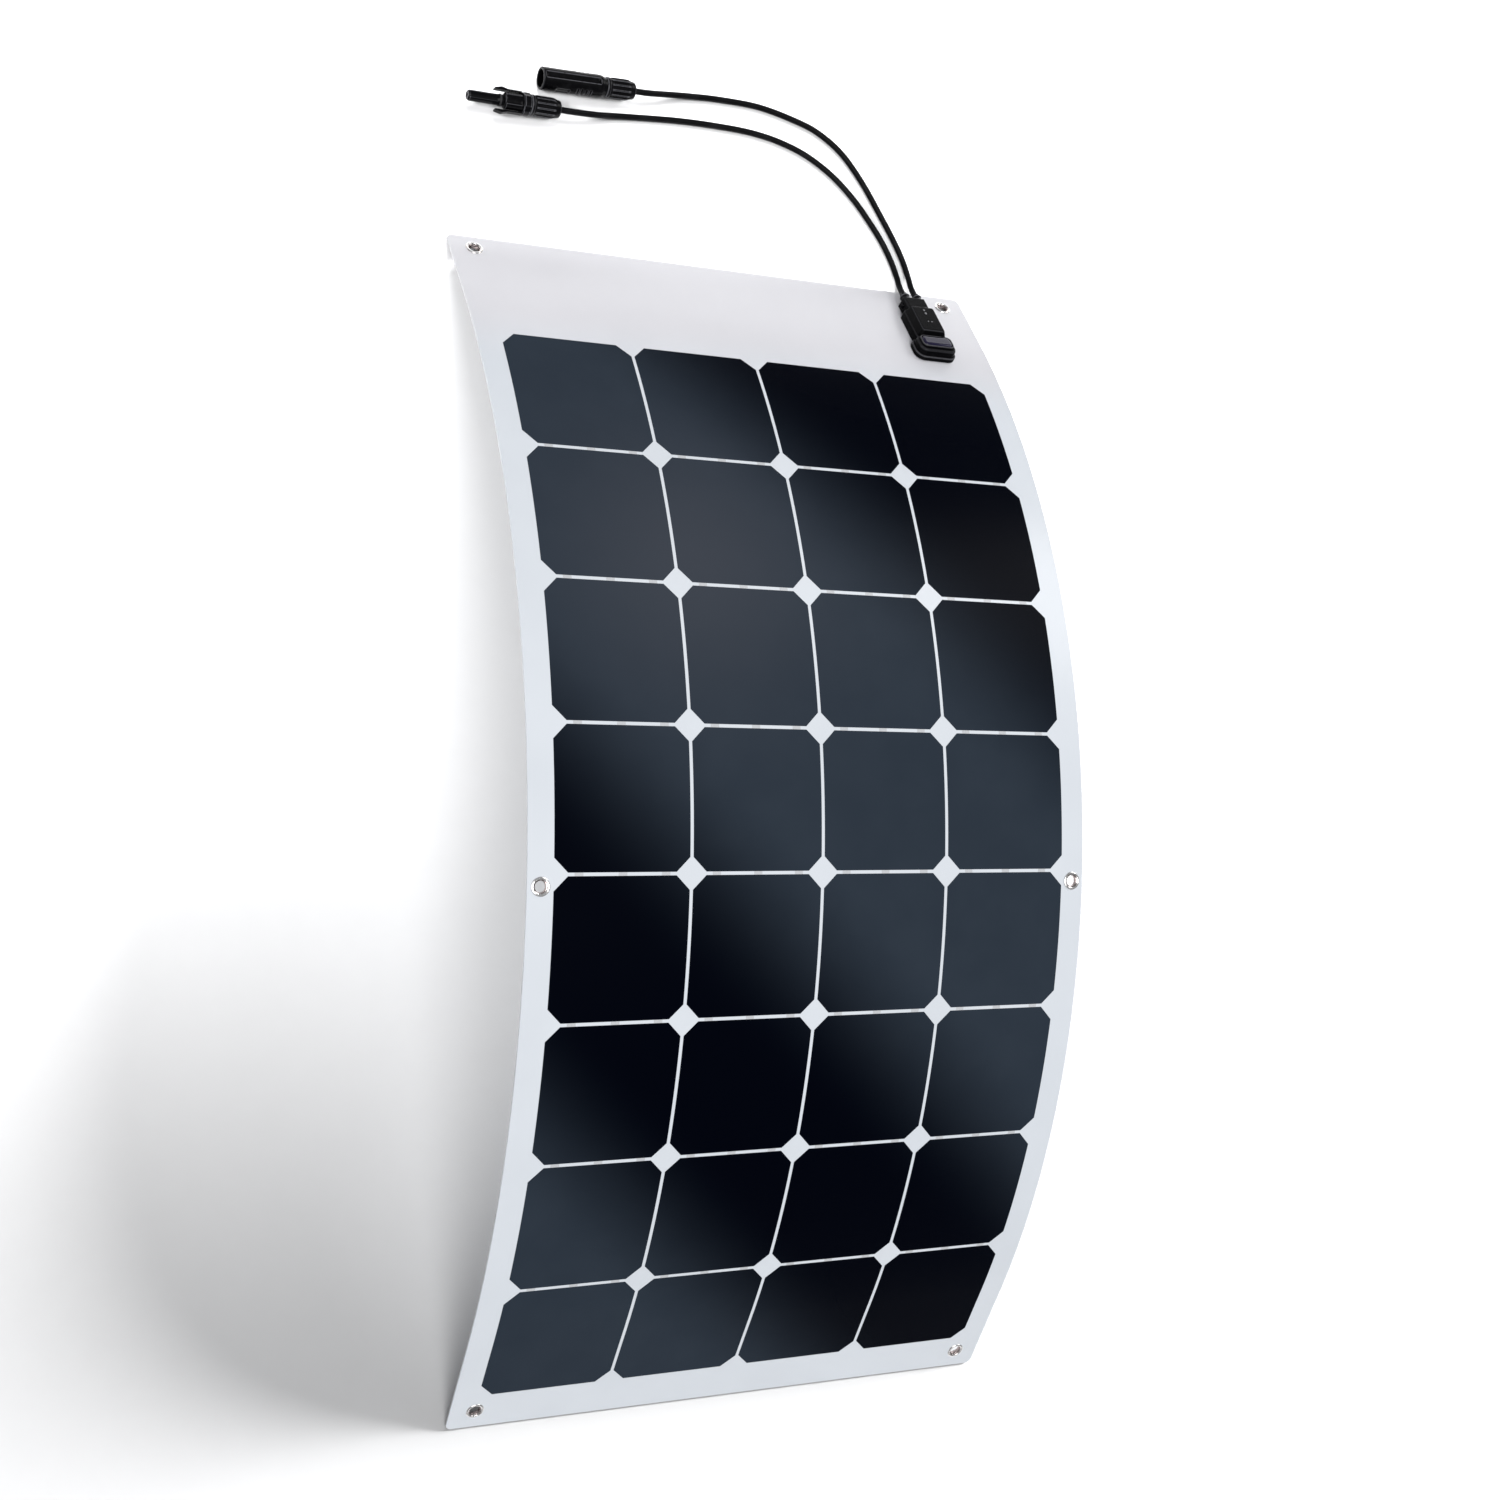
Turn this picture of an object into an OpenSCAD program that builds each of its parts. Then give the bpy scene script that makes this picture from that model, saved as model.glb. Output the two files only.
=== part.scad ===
// Flexible solar sheet standing as a low arch on its two short edges.
// X runs across the sheet, Y along it with the junction box at +Y, Z is up.
// The sheet flexes along eight lines that lie in the gaps between the rows of cells,
// so each row of cells, and the header, is a flat strip of film, cells and back sheet.

/* [Sheet] */
// Side of one square cell
cell = 125; // [120:0.5:130]
// Gap between neighbouring cells
cell_gap = 3; // [2:0.5:5]
// Leg of the cut corner of a cell
cell_cut = 12.6; // [8:0.2:16]
// Plain band at the junction box end
header = 135; // [120:1:160]
// Plain band at the other end
footer = 40; // [34:1:60]
// Plain band along each long edge
side_band = 23.5; // [22:0.5:40]
// Corner rounding of the sheet
corner_r = 6; // [3:1:10]
// Turn at each flex line, in degrees, as the sheet stands
flex = 9.2; // [6:0.1:10]

/* [Layers] */
// Clear front film
film_t = 0.4; // [0.3:0.1:0.6]
// Back sheet below the film
back_t = 1.6; // [1.2:0.1:2]
// Cell
cell_t = 0.2; // [0.15:0.05:0.3]
// Flat copper tab or ribbon
copper_t = 0.1; // [0.1:0.05:0.2]

/* [Grommets] */
// Radius of the hole through a grommet
eyelet_r = 5; // [4:0.25:5]
// Radius of a grommet's flange
flange_r = 8.5; // [8:0.25:9.5]
// Distance of a middle grommet from the long edge
middle_in = 12; // [11:0.5:14]
// Distance of a corner grommet from the long edge
corner_in = 24; // [20:0.5:28]
// Distance of the top grommets from the short edge
top_end = 17; // [13:0.5:24]
// Distance of the bottom grommets from the short edge
bottom_end = 21; // [13:0.5:28]

/* [Junction box] */
// Distance of the box's middle from the centre line
box_x = 212; // [200:1:230]
// Distance of the cable end of the box from the short edge
box_in = 22; // [14:1:30]
// Width of the neck that holds the cable glands
neck_w = 26; // [24:0.5:28]
// Length of the neck
neck_l = 17; // [12:1:18]
// Width of the long body
body_w = 35; // [29:0.5:38]
// Length of the long body
body_l = 41; // [30:1:44]
// Width of the wide lower end
foot_w = 46; // [38:0.5:50]
// Length of the wide lower end
foot_l = 28; // [22:1:30]
// Height of the body above the sheet
box_h = 17; // [15:0.5:20]
// Adhesive pad under the box
pad_t = 1; // [0.8:0.1:1.5]

/* [Cables and couplers] */
// Diameter of a cable
cable_d = 6; // [5:0.5:6]
// Distance between the two cables at the box
cable_pitch = 14; // [12:0.5:15]
// Radius of the couplers' widest stretch
coupler_r = 11; // [10:0.5:12]
// Radius of the nut behind each coupler
nut_r = 9.5; // [9:0.25:10]
// Length of the nut
nut_l = 30; // [26:1:32]
// Length of the shell that holds the pin
shell_l = 68; // [60:1:72]
// Length of the stretch of the other coupler that enters the shell
probe_l = 36; // [30:1:38]
// Radius of the contact pin
pin_r = 2; // [1.5:0.1:2.5]

/* [Hidden] */

cols = 4;
rows = 8;
pitch = cell + cell_gap;
sheet_w = cols * cell + (cols - 1) * cell_gap + 2 * side_band;
sheet_t = film_t + back_t;
// Half of the small gap left between two strips along a flex line
seam = 0.05;
// Over-length that makes a cut run clear of a face
past = 1;
round_fn = 64;

// Strip 0 is the header, strips 1 to 8 carry the rows of cells. Strip 4 is the middle one.
middle = 4;
function strip_len(i) =
    i == 0 ? header - cell_gap / 2 : i == rows ? pitch + footer - cell_gap / 2 : pitch;
function turn(i) = abs(i - middle) * flex;
function sum(v, i = 0) = i < len(v) ? v[i] + sum(v, i + 1) : 0;
// Lean of the middle strip at which both short edges stand at the same height
above = [for (i = [0:middle - 1]) i];
below = [for (i = [middle + 1:rows]) i];
rise_above = sum([for (i = above) strip_len(i) * sin(turn(i))]);
rise_below = sum([for (i = below) strip_len(i) * sin(turn(i))]);
reach = pitch + sum([for (i = concat(above, below)) strip_len(i) * cos(turn(i))]);
lean = atan((rise_below - rise_above) / reach);
function tilt(i) = lean + flex * (middle - i);
function step_y(i) = i == 0 ? 0 : step_y(i - 1) - strip_len(i - 1) * cos(tilt(i - 1));
function step_z(i) = i == 0 ? 0 : step_z(i - 1) + strip_len(i - 1) * sin(tilt(i - 1));
edge_y = -step_y(rows + 1) / 2;
edge_z = sheet_t * cos(tilt(rows)) - step_z(rows + 1);

// A strip's own frame: origin on the top face at its upper end, Z out of the face
module on_strip(i) {
    translate([0, edge_y + step_y(i), edge_z + step_z(i)])
        rotate([-tilt(i), 0, 0])
            children();
}

// Slab of a strip from depth a to depth b, mitred where it meets its neighbours
module slab(i, a, b) {
    m = tan(flex / 2);
    l = strip_len(i);
    top = i == 0 ? 0 : 1;
    end = i == rows ? 0 : 1;
    translate([-sheet_w / 2, 0, 0])
        rotate([90, 0, 90])
            linear_extrude(sheet_w)
                polygon([
                    [-top * (seam + a * m), -a],
                    [-top * (seam + b * m), -b],
                    [-l + end * (seam + b * m), -b],
                    [-l + end * (seam + a * m), -a]
                ]);
}

// Rounds one free corner: sx and sy say which way the corner points
module corner_cut(sx, y, sy) {
    translate([sx * (sheet_w / 2 - corner_r), y - sy * corner_r, -sheet_t - past])
        linear_extrude(sheet_t + 2 * past)
            difference() {
                translate([sx > 0 ? 0 : -corner_r - past, sy > 0 ? 0 : -corner_r - past])
                    square(corner_r + past);
                circle(corner_r, $fn = round_fn);
            }
}

// Distance of each grommet down its strip. The middle pair sits just below a flex line.
function grommet_y(i) =
    i == 0 ? -top_end : i == rows ? bottom_end - strip_len(i) : -flange_r - cell_gap / 2;
function grommet_in(i) = i == 0 || i == rows ? corner_in : middle_in;
grommet_strips = [0, middle + 1, rows];
barrel_r = eyelet_r + 0.6;

module at_grommets(i) {
    for (sx = [-1, 1])
        translate([sx * (sheet_w / 2 - grommet_in(i)), grommet_y(i), 0])
            children();
}

// A strip's slab with its rounded corners and grommet holes
module strip_layer(i, a, b) {
    difference() {
        slab(i, a, b);
        if (i == 0)
            for (sx = [-1, 1])
                corner_cut(sx, 0, 1);
        if (i == rows)
            for (sx = [-1, 1])
                corner_cut(sx, -strip_len(i), -1);
        if (len(search(i, grommet_strips)) > 0)
            at_grommets(i)
                translate([0, 0, -sheet_t - past])
                    cylinder(r = barrel_r + 0.1, h = sheet_t + 2 * past, $fn = round_fn);
    }
}

function cell_x(c) = (c - (cols - 1) / 2) * pitch;
cell_y = -pitch / 2;

// Square with its four corners cut off
module cell_outline() {
    h = cell / 2;
    k = h - cell_cut;
    polygon([[k, h], [h, k], [h, -k], [k, -h], [-k, -h], [-h, -k], [-h, k], [-k, h]]);
}

module cell_blocks(t) {
    for (c = [0:cols - 1])
        translate([cell_x(c), cell_y, -film_t - t])
            linear_extrude(t)
                cell_outline();
}

// Three tabs at each end of each cell, from under the cell to the flex line
tab_w = 8;
tab_under = 4;
tab_pitch = 40;

module tab_blocks(t) {
    l = tab_under + cell_gap / 2 - 0.2;
    for (c = [0:cols - 1])
        for (k = [-1:1])
            for (y = [-0.2 - l, -pitch + 0.2])
                translate([cell_x(c) + k * tab_pitch - tab_w / 2, y, -film_t - cell_t - copper_t])
                    cube([tab_w, l, t]);
}

// Ribbons that join the columns of cells and lead to the box
ribbon_w = 5;
ribbon_in = 8;
ribbon_y = cell_gap / 2 - header + ribbon_in;
lead_y = ribbon_y + 2 * ribbon_w;
box_l = neck_l + body_l + foot_l;
// The two leads end here, under the wide end of the box
lead_end = 6 - box_in - box_l;

module header_ribbon_blocks(t) {
    minus_x = box_x - ribbon_w - 1.5;
    plus_x = box_x + 1.5;
    translate([cell_x(1), ribbon_y, -film_t - t])
        cube([pitch, ribbon_w, t]);
    translate([cell_x(0), lead_y, -film_t - t])
        cube([minus_x + ribbon_w - cell_x(0), ribbon_w, t]);
    translate([minus_x, lead_y, -film_t - t])
        cube([ribbon_w, lead_end - lead_y, t]);
    translate([cell_x(3), ribbon_y, -film_t - t])
        cube([plus_x + ribbon_w - cell_x(3), ribbon_w, t]);
    translate([plus_x, ribbon_y, -film_t - t])
        cube([ribbon_w, lead_end - ribbon_y, t]);
}

module footer_ribbon_blocks(t) {
    for (c = [0, 2])
        translate([cell_x(c), -pitch - ribbon_in, -film_t - t])
            cube([pitch, ribbon_w, t]);
}

module film(i) {
    color("white", 0.35)
        on_strip(i)
            strip_layer(i, 0, film_t);
}

module back(i) {
    color("whitesmoke")
        on_strip(i)
            difference() {
                strip_layer(i, film_t, sheet_t);
                if (i == 0)
                    header_ribbon_blocks(2 * copper_t);
                if (i == rows)
                    footer_ribbon_blocks(2 * copper_t);
                if (i > 0) {
                    cell_blocks(cell_t);
                    tab_blocks(cell_t + copper_t);
                }
            }
}

module cells(i) {
    color([0.12, 0.13, 0.17])
        on_strip(i)
            cell_blocks(cell_t);
}

module tabs(i) {
    color("silver")
        on_strip(i)
            tab_blocks(copper_t);
}

module header_ribbons() {
    color("silver")
        on_strip(0)
            header_ribbon_blocks(2 * copper_t);
}

module footer_ribbons() {
    color("silver")
        on_strip(rows)
            footer_ribbon_blocks(2 * copper_t);
}

// Grommet: a flanged barrel from above, and a washer that its curled end holds from below
flange_t = 0.9;
washer_t = 0.8;
barrel_l = sheet_t + washer_t + 1;

module eyelet() {
    rotate_extrude($fn = round_fn)
        polygon([
            [eyelet_r, -barrel_l], [barrel_r + 0.9, -barrel_l], [barrel_r + 0.9, -sheet_t - washer_t],
            [barrel_r, -sheet_t - washer_t], [barrel_r, 0], [flange_r, 0],
            [flange_r - 0.3, 0.6], [flange_r - 1.6, flange_t], [barrel_r + 0.4, flange_t],
            [eyelet_r, 0.3]
        ]);
}

module washer() {
    translate([0, 0, -sheet_t - washer_t])
        difference() {
            cylinder(r = flange_r, h = washer_t, $fn = round_fn);
            translate([0, 0, -past])
                cylinder(r = barrel_r + 0.05, h = washer_t + 2 * past, $fn = round_fn);
        }
}

module eyelets(i) {
    color("silver")
        on_strip(i)
            at_grommets(i)
                eyelet();
}

module washers(i) {
    color("lightgray")
        on_strip(i)
            at_grommets(i)
                washer();
}

// The box's own frame: origin on the sheet at the middle of its cable end, body towards -Y
module on_box() {
    on_strip(0)
        translate([box_x, -box_in, 0])
            children();
}

wall = 2;
base_h = 5;
lid_z = pad_t + base_h;
neck_h = 13;
foot_h = 14;
// The lid's wide end is this much smaller all round than the base
rim = 0.8;
// Height of the cables' axes above the sheet at the box
cable_z = 8;
gland_r = 4.25;

module rounded(w, l, r) {
    translate([-w / 2, r])
        square([w, l - 2 * r]);
    translate([r - w / 2, 0])
        square([w - 2 * r, l]);
    for (x = [r - w / 2, w / 2 - r])
        for (y = [r, l - r])
            translate([x, y])
                circle(r, $fn = round_fn);
}

module neck_outline(d) {
    translate([d - neck_w / 2, -neck_l - 5])
        square([neck_w - 2 * d, neck_l + 5 - d]);
}

module body_outline(d) {
    translate([0, -neck_l - body_l - 8 + d])
        rounded(body_w - 2 * d, body_l + 8 - 2 * d, 4 - d);
}

module foot_outline(d) {
    translate([0, d - box_l])
        rounded(foot_w - 2 * d, foot_l - 2 * d, 10 - d);
}

module box_outline(d) {
    neck_outline(d);
    body_outline(d);
    foot_outline(d);
}

module gland_holes(r) {
    for (sx = [-1, 1])
        translate([sx * cable_pitch / 2, past, cable_z])
            rotate([90, 0, 0])
                cylinder(r = r, h = wall + 2 * past, $fn = round_fn);
}

module box_pad() {
    color("gray")
        on_box()
            linear_extrude(pad_t)
                box_outline(1);
}

module box_base() {
    color([0.07, 0.07, 0.08])
        on_box()
            difference() {
                translate([0, 0, pad_t])
                    linear_extrude(base_h)
                        box_outline(0);
                translate([0, 0, pad_t + wall])
                    linear_extrude(base_h)
                        box_outline(wall);
                gland_holes(gland_r);
            }
}

window_w = 32;
window_l = 12;
window_y = 7 - box_l;
window_t = 1.4;
ledge = 2;
roof = 3;

module box_lid() {
    color([0.07, 0.07, 0.08])
        on_box()
            difference() {
                union() {
                    translate([0, 0, lid_z])
                        linear_extrude(neck_h - lid_z)
                            neck_outline(0);
                    translate([0, 0, lid_z])
                        linear_extrude(box_h - lid_z)
                            body_outline(0);
                    translate([0, 0, lid_z])
                        linear_extrude(foot_h - lid_z)
                            foot_outline(rim);
                }
                translate([0, 0, lid_z - past])
                    linear_extrude(neck_h - wall - lid_z + past) {
                        neck_outline(wall);
                        foot_outline(wall + rim);
                    }
                translate([0, 0, lid_z - past])
                    linear_extrude(box_h - wall - lid_z + past)
                        body_outline(wall + rim);
                translate([0, window_y, foot_h - wall])
                    linear_extrude(wall + past)
                        rounded(window_w, window_l, 3);
                translate([0, window_y + ledge, foot_h - roof - past])
                    linear_extrude(roof)
                        rounded(window_w - 2 * ledge, window_l - 2 * ledge, 1);
                gland_holes(gland_r);
            }
}

module box_window() {
    color([0.1, 0.1, 0.14])
        on_box()
            translate([0, window_y + 0.1, foot_h - wall])
                linear_extrude(window_t)
                    rounded(window_w - 0.2, window_l - 0.2, 2.9);
}

// Two bypass diodes lie across the bottom of the box
diode_r = 2.6;
diode_l = 10;
diode_pitch = 10;

module bypass_diodes() {
    color("dimgray")
        on_box()
            for (k = [0, 1])
                translate([-diode_l / 2, -neck_l - 14 - k * diode_pitch, pad_t + wall + diode_r])
                    rotate([0, 90, 0])
                        cylinder(r = diode_r, h = diode_l, $fn = round_fn);
}

// Two clamp blocks that join the ribbons to the cables
terminal = [6, 10, 7.5];
terminal_y = -neck_l - 6;
conductor_r = 1.6;

module box_terminals() {
    color("goldenrod")
        on_box()
            for (sx = [-1, 1])
                translate([sx * cable_pitch / 2 - terminal.x / 2, terminal_y, pad_t + wall])
                    difference() {
                        cube(terminal);
                        translate([terminal.x / 2, -past, cable_z - pad_t - wall])
                            rotate([-90, 0, 0])
                                cylinder(r = conductor_r, h = terminal.y + 2 * past,
                                         $fn = round_fn);
                    }
}

// A gland is a collar in the box's end wall with a bore for the cable
gland_out = 4;
gland_l = gland_out + 3;

module cable_glands() {
    color([0.05, 0.05, 0.06])
        on_box()
            for (sx = [-1, 1])
                translate([sx * cable_pitch / 2, gland_out, cable_z])
                    rotate([90, 0, 0])
                        difference() {
                            cylinder(r = gland_r - 0.05, h = gland_l, $fn = round_fn);
                            translate([0, 0, -past])
                                cylinder(r = cable_r + 0.1, h = gland_l + 2 * past, $fn = round_fn);
                        }
}

cable_r = cable_d / 2;
lie_z = cable_r + 0.2;
// Where each cable leaves its gland, in the sheet's frame
exit_y = edge_y - (box_in - gland_out) * cos(tilt(0)) + cable_z * sin(tilt(0));
exit_z = edge_z + (box_in - gland_out) * sin(tilt(0)) + cable_z * cos(tilt(0));
function along_exit(x, d) = [x, exit_y + d * cos(tilt(0)), exit_z - d * sin(tilt(0))];
// Straight stretch of each cable out of its gland
exit_run = 16;
// The cables lie on what the sheet stands on and end in the couplers' nuts
coupler_z = coupler_r;
plus_end = [-92, 706, coupler_z];
minus_end = [-169, 676, coupler_z];
plus_yaw = 181.5;
minus_yaw = 180;
function ahead(p, yaw, d) = p + d * [cos(yaw), sin(yaw), 0];
// The housing's neck goes into the nut up to here
neck_z = 18;
thread_r = 7.4;
seal_z = 8;
seal_l = 9;

// Each cable starts at its terminal, inside the box
start = terminal_y + terminal.y - gland_out;
plus_x = box_x + cable_pitch / 2;
minus_x = box_x - cable_pitch / 2;
plus_route = [
    along_exit(plus_x, start), along_exit(plus_x, 0), along_exit(plus_x, exit_run),
    [218, 562, 4.2], [213, 577, lie_z], [202.5, 597, lie_z], [186, 623, lie_z],
    [165, 654, lie_z], [142, 680, lie_z], [118, 696, lie_z], [94, 705, lie_z],
    [49, 714, lie_z], [4, 715, lie_z], [-28, 713, 4.2], [-52, 710, 7],
    ahead(plus_end, plus_yaw, -16), plus_end, ahead(plus_end, plus_yaw, seal_z)
];
minus_route = [
    along_exit(minus_x, start), along_exit(minus_x, 0), along_exit(minus_x, exit_run),
    [204, 562, 4.2], [199, 575.5, lie_z], [188.5, 594, lie_z], [173.5, 614, lie_z],
    [155, 635, lie_z], [131, 655.5, lie_z], [102, 672, lie_z], [71, 682, lie_z],
    [38, 687, lie_z], [0, 688, lie_z], [-40, 687, lie_z], [-80, 684, lie_z],
    [-108, 681, 4.4], [-130, 678, 7.4], ahead(minus_end, minus_yaw, -14), minus_end,
    ahead(minus_end, minus_yaw, seal_z)
];

// Smooth curve through the route's points
function spline(p, i, t) =
    let (
        a = p[max(i - 1, 0)], b = p[i], c = p[min(i + 1, len(p) - 1)], d = p[min(i + 2, len(p) - 1)]
    )
    0.5 * (2 * b + (c - a) * t + (2 * a - 5 * b + 4 * c - d) * t * t
           + (3 * b - a - 3 * c + d) * t * t * t);
function unit(v) = v / norm(v);
// Rings sit closer together where the points do
function ring_count(p, i) = norm(p[i + 1] - p[i]) > 20 ? 3 : 1;
function line_of(p) = [
    for (i = [0:len(p) - 2])
        for (k = [0:ring_count(p, i) - 1])
            spline(p, i, k / ring_count(p, i)),
    p[len(p) - 1]
];
tube_sides = 12;

module tube(route) {
    line = line_of(route);
    n = len(line);
    points = [
        for (i = [0:n - 1])
            let (
                way = unit(line[min(i + 1, n - 1)] - line[max(i - 1, 0)]),
                side = unit(cross(way, [0, 0, 1])),
                up = cross(side, way)
            )
            for (k = [0:tube_sides - 1])
                let (a = 360 * k / tube_sides)
                line[i] + cable_r * (cos(a) * side + sin(a) * up)
    ];
    walls = [
        for (i = [0:n - 2])
            for (k = [0:tube_sides - 1])
                let (j = (k + 1) % tube_sides, a = i * tube_sides, b = a + tube_sides)
                each [[a + k, a + j, b + j], [a + k, b + j, b + k]]
    ];
    first = [[for (k = [tube_sides - 1:-1:0]) k]];
    last = [[for (k = [0:tube_sides - 1]) (n - 1) * tube_sides + k]];
    polyhedron(points, concat(walls, first, last));
}

module plus_cable() {
    color([0.04, 0.04, 0.04])
        tube(plus_route);
}

module minus_cable() {
    color([0.04, 0.04, 0.04])
        tube(minus_route);
}

// A coupler's own frame: +Z runs from the cable's end of the nut to the mouth
module on_plus() {
    translate(plus_end)
        rotate([0, 90, plus_yaw])
            children();
}

module on_minus() {
    translate(minus_end)
        rotate([0, 90, minus_yaw])
            children();
}

module nut() {
    difference() {
        union() {
            cylinder(r = nut_r, h = nut_l, $fn = round_fn);
            for (a = [0:30:330])
                rotate(a)
                    translate([nut_r - 0.5, -0.8, 3])
                        cube([1.3, 1.6, nut_l - 6]);
        }
        translate([0, 0, -past])
            cylinder(r = cable_r + 0.15, h = nut_l, $fn = round_fn);
        translate([0, 0, seal_z])
            cylinder(r = thread_r, h = nut_l, $fn = round_fn);
    }
}

module seal() {
    translate([0, 0, seal_z])
        difference() {
            cylinder(r = thread_r - 0.1, h = seal_l, $fn = round_fn);
            translate([0, 0, -past])
                cylinder(r = cable_r, h = seal_l + 2 * past, $fn = round_fn);
        }
}

module coupler_nuts() {
    color([0.05, 0.05, 0.05]) {
        on_plus()
            nut();
        on_minus()
            nut();
    }
}

module cord_seals() {
    color([0.15, 0.15, 0.16]) {
        on_plus()
            seal();
        on_minus()
            seal();
    }
}

// Round shell with an open mouth, two side windows for the latches and a long groove
mouth_r = 8.4;
mouth_l = 44;
taper_l = 4;
shell_z = nut_l - 2;
mouth_z = shell_z + shell_l - mouth_l;
window_z = mouth_z + 2;
groove_z = mouth_z - 8;

module pin_coupler() {
    color([0.05, 0.05, 0.05])
        on_plus()
            difference() {
                union() {
                    translate([0, 0, neck_z])
                        cylinder(r = thread_r - 0.1, h = nut_l - neck_z + past, $fn = round_fn);
                    translate([0, 0, nut_l])
                        cylinder(r1 = nut_r, r2 = coupler_r, h = taper_l, $fn = round_fn);
                    translate([0, 0, nut_l + taper_l])
                        cylinder(r = coupler_r, h = shell_z + shell_l - nut_l - taper_l,
                                 $fn = round_fn);
                }
                translate([0, 0, neck_z - past])
                    cylinder(r = pin_r + 1, h = mouth_z - neck_z + 2 * past, $fn = round_fn);
                translate([0, 0, mouth_z])
                    cylinder(r = mouth_r, h = mouth_l + past, $fn = round_fn);
                for (a = [90, 270])
                    rotate(a)
                        translate([mouth_r - 2, -3.5, window_z])
                            cube([coupler_r, 7, 14]);
                rotate(180)
                    translate([coupler_r - 0.8, -1.6, groove_z])
                        cube([2, 3.2, shell_l]);
            }
}

module pin_contact() {
    color("gold")
        on_plus()
            rotate_extrude($fn = round_fn)
                polygon([
                    [0, seal_z], [cable_r - 0.1, seal_z], [cable_r - 0.1, neck_z + 2],
                    [pin_r, neck_z + 4], [pin_r, shell_z + shell_l - 9],
                    [pin_r - 1, shell_z + shell_l - 6], [0, shell_z + shell_l - 6]
                ]);
}

// Body with a collar and a slim probe, with a seat on each side for a latch
collar_l = 8;
block_r = 8;
block_l = 18;
probe_r = 5.2;
probe_z = nut_l + collar_l + block_l;
latch_z = nut_l + collar_l;
latch_y = block_r + 1.4;

module socket_coupler() {
    color([0.05, 0.05, 0.05])
        on_minus()
            difference() {
                union() {
                    translate([0, 0, neck_z])
                        cylinder(r = thread_r - 0.1, h = nut_l - neck_z + past, $fn = round_fn);
                    translate([0, 0, nut_l])
                        cylinder(r = coupler_r, h = collar_l, $fn = round_fn);
                    translate([0, 0, nut_l + collar_l])
                        cylinder(r = block_r, h = block_l, $fn = round_fn);
                    translate([0, 0, probe_z])
                        cylinder(r = probe_r, h = probe_l - 2, $fn = round_fn);
                    translate([0, 0, probe_z + probe_l - 2])
                        cylinder(r1 = probe_r, r2 = probe_r - 1.5, h = 2, $fn = round_fn);
                }
                translate([0, 0, neck_z - past])
                    cylinder(r = pin_r + 1.4, h = 2 * nut_l + probe_l + past, $fn = round_fn);
                translate([0, 0, probe_z + 3])
                    ring_shape(probe_r + past, probe_r - 1, 2);
            }
}

module ring_shape(outer, inner, h) {
    difference() {
        cylinder(r = outer, h = h, $fn = round_fn);
        translate([0, 0, -past])
            cylinder(r = inner, h = h + 2 * past, $fn = round_fn);
    }
}

module face_ring() {
    color([0.2, 0.2, 0.22])
        on_minus()
            translate([0, 0, probe_z + 3.1])
                ring_shape(probe_r + 0.6, probe_r - 0.95, 1.8);
}

module socket_contact() {
    color("gold")
        on_minus()
            difference() {
                union() {
                    translate([0, 0, seal_z])
                        cylinder(r = cable_r - 0.1, h = neck_z + 2 - seal_z, $fn = round_fn);
                    translate([0, 0, neck_z + 2])
                        cylinder(r = pin_r + 1.3, h = probe_z + probe_l - 6 - neck_z, $fn = round_fn);
                }
                translate([0, 0, probe_z])
                    cylinder(r = pin_r + 0.1, h = probe_l, $fn = round_fn);
            }
}

// Springy latch finger: it bends inwards about its root when the couplers are pulled apart
module latch(sy) {
    color([0.06, 0.06, 0.07])
        on_minus()
            scale([1, sy, 1])
                translate([-3, latch_y, latch_z + 0.2])
                    rotate([90, 0, 90])
                        linear_extrude(6)
                            polygon([
                                [-1, 0], [1.2, 0], [1.4, 14], [3, 20], [1.4, 27], [0, 27], [0, 3],
                                [-1, 2]
                            ]);
}

module latch_left() {
    latch(1);
}

module latch_right() {
    latch(-1);
}

film(0);  // header_film
back(0);  // header_back
header_ribbons();
footer_ribbons();
for (i = [1:rows]) {
    film(i);
    back(i);
    cells(i);
    tabs(i);
}
eyelets(grommet_strips[0]);  // eyelets_top
eyelets(grommet_strips[1]);  // eyelets_middle
eyelets(grommet_strips[2]);  // eyelets_bottom
washers(grommet_strips[0]);  // washers_top
washers(grommet_strips[1]);  // washers_middle
washers(grommet_strips[2]);  // washers_bottom
box_pad();
box_base();
box_lid();
box_window();
bypass_diodes();
box_terminals();
cable_glands();
plus_cable();
minus_cable();
pin_coupler();
pin_contact();
socket_coupler();
socket_contact();
coupler_nuts();
cord_seals();
face_ring();
latch_left();
latch_right();
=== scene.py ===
# %% [markdown]
# # A flexible solar sheet
# The sheet is a thin white laminate with four columns and eight rows of dark cells. It stands as
# a low arch on its two short edges. Metal grommets, a small black junction box and two cables
# with couplers finish it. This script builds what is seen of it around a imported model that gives
# every size and every moving body.

import bmesh
import bpy
import numpy as np
from mathutils import Matrix, Vector


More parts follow.
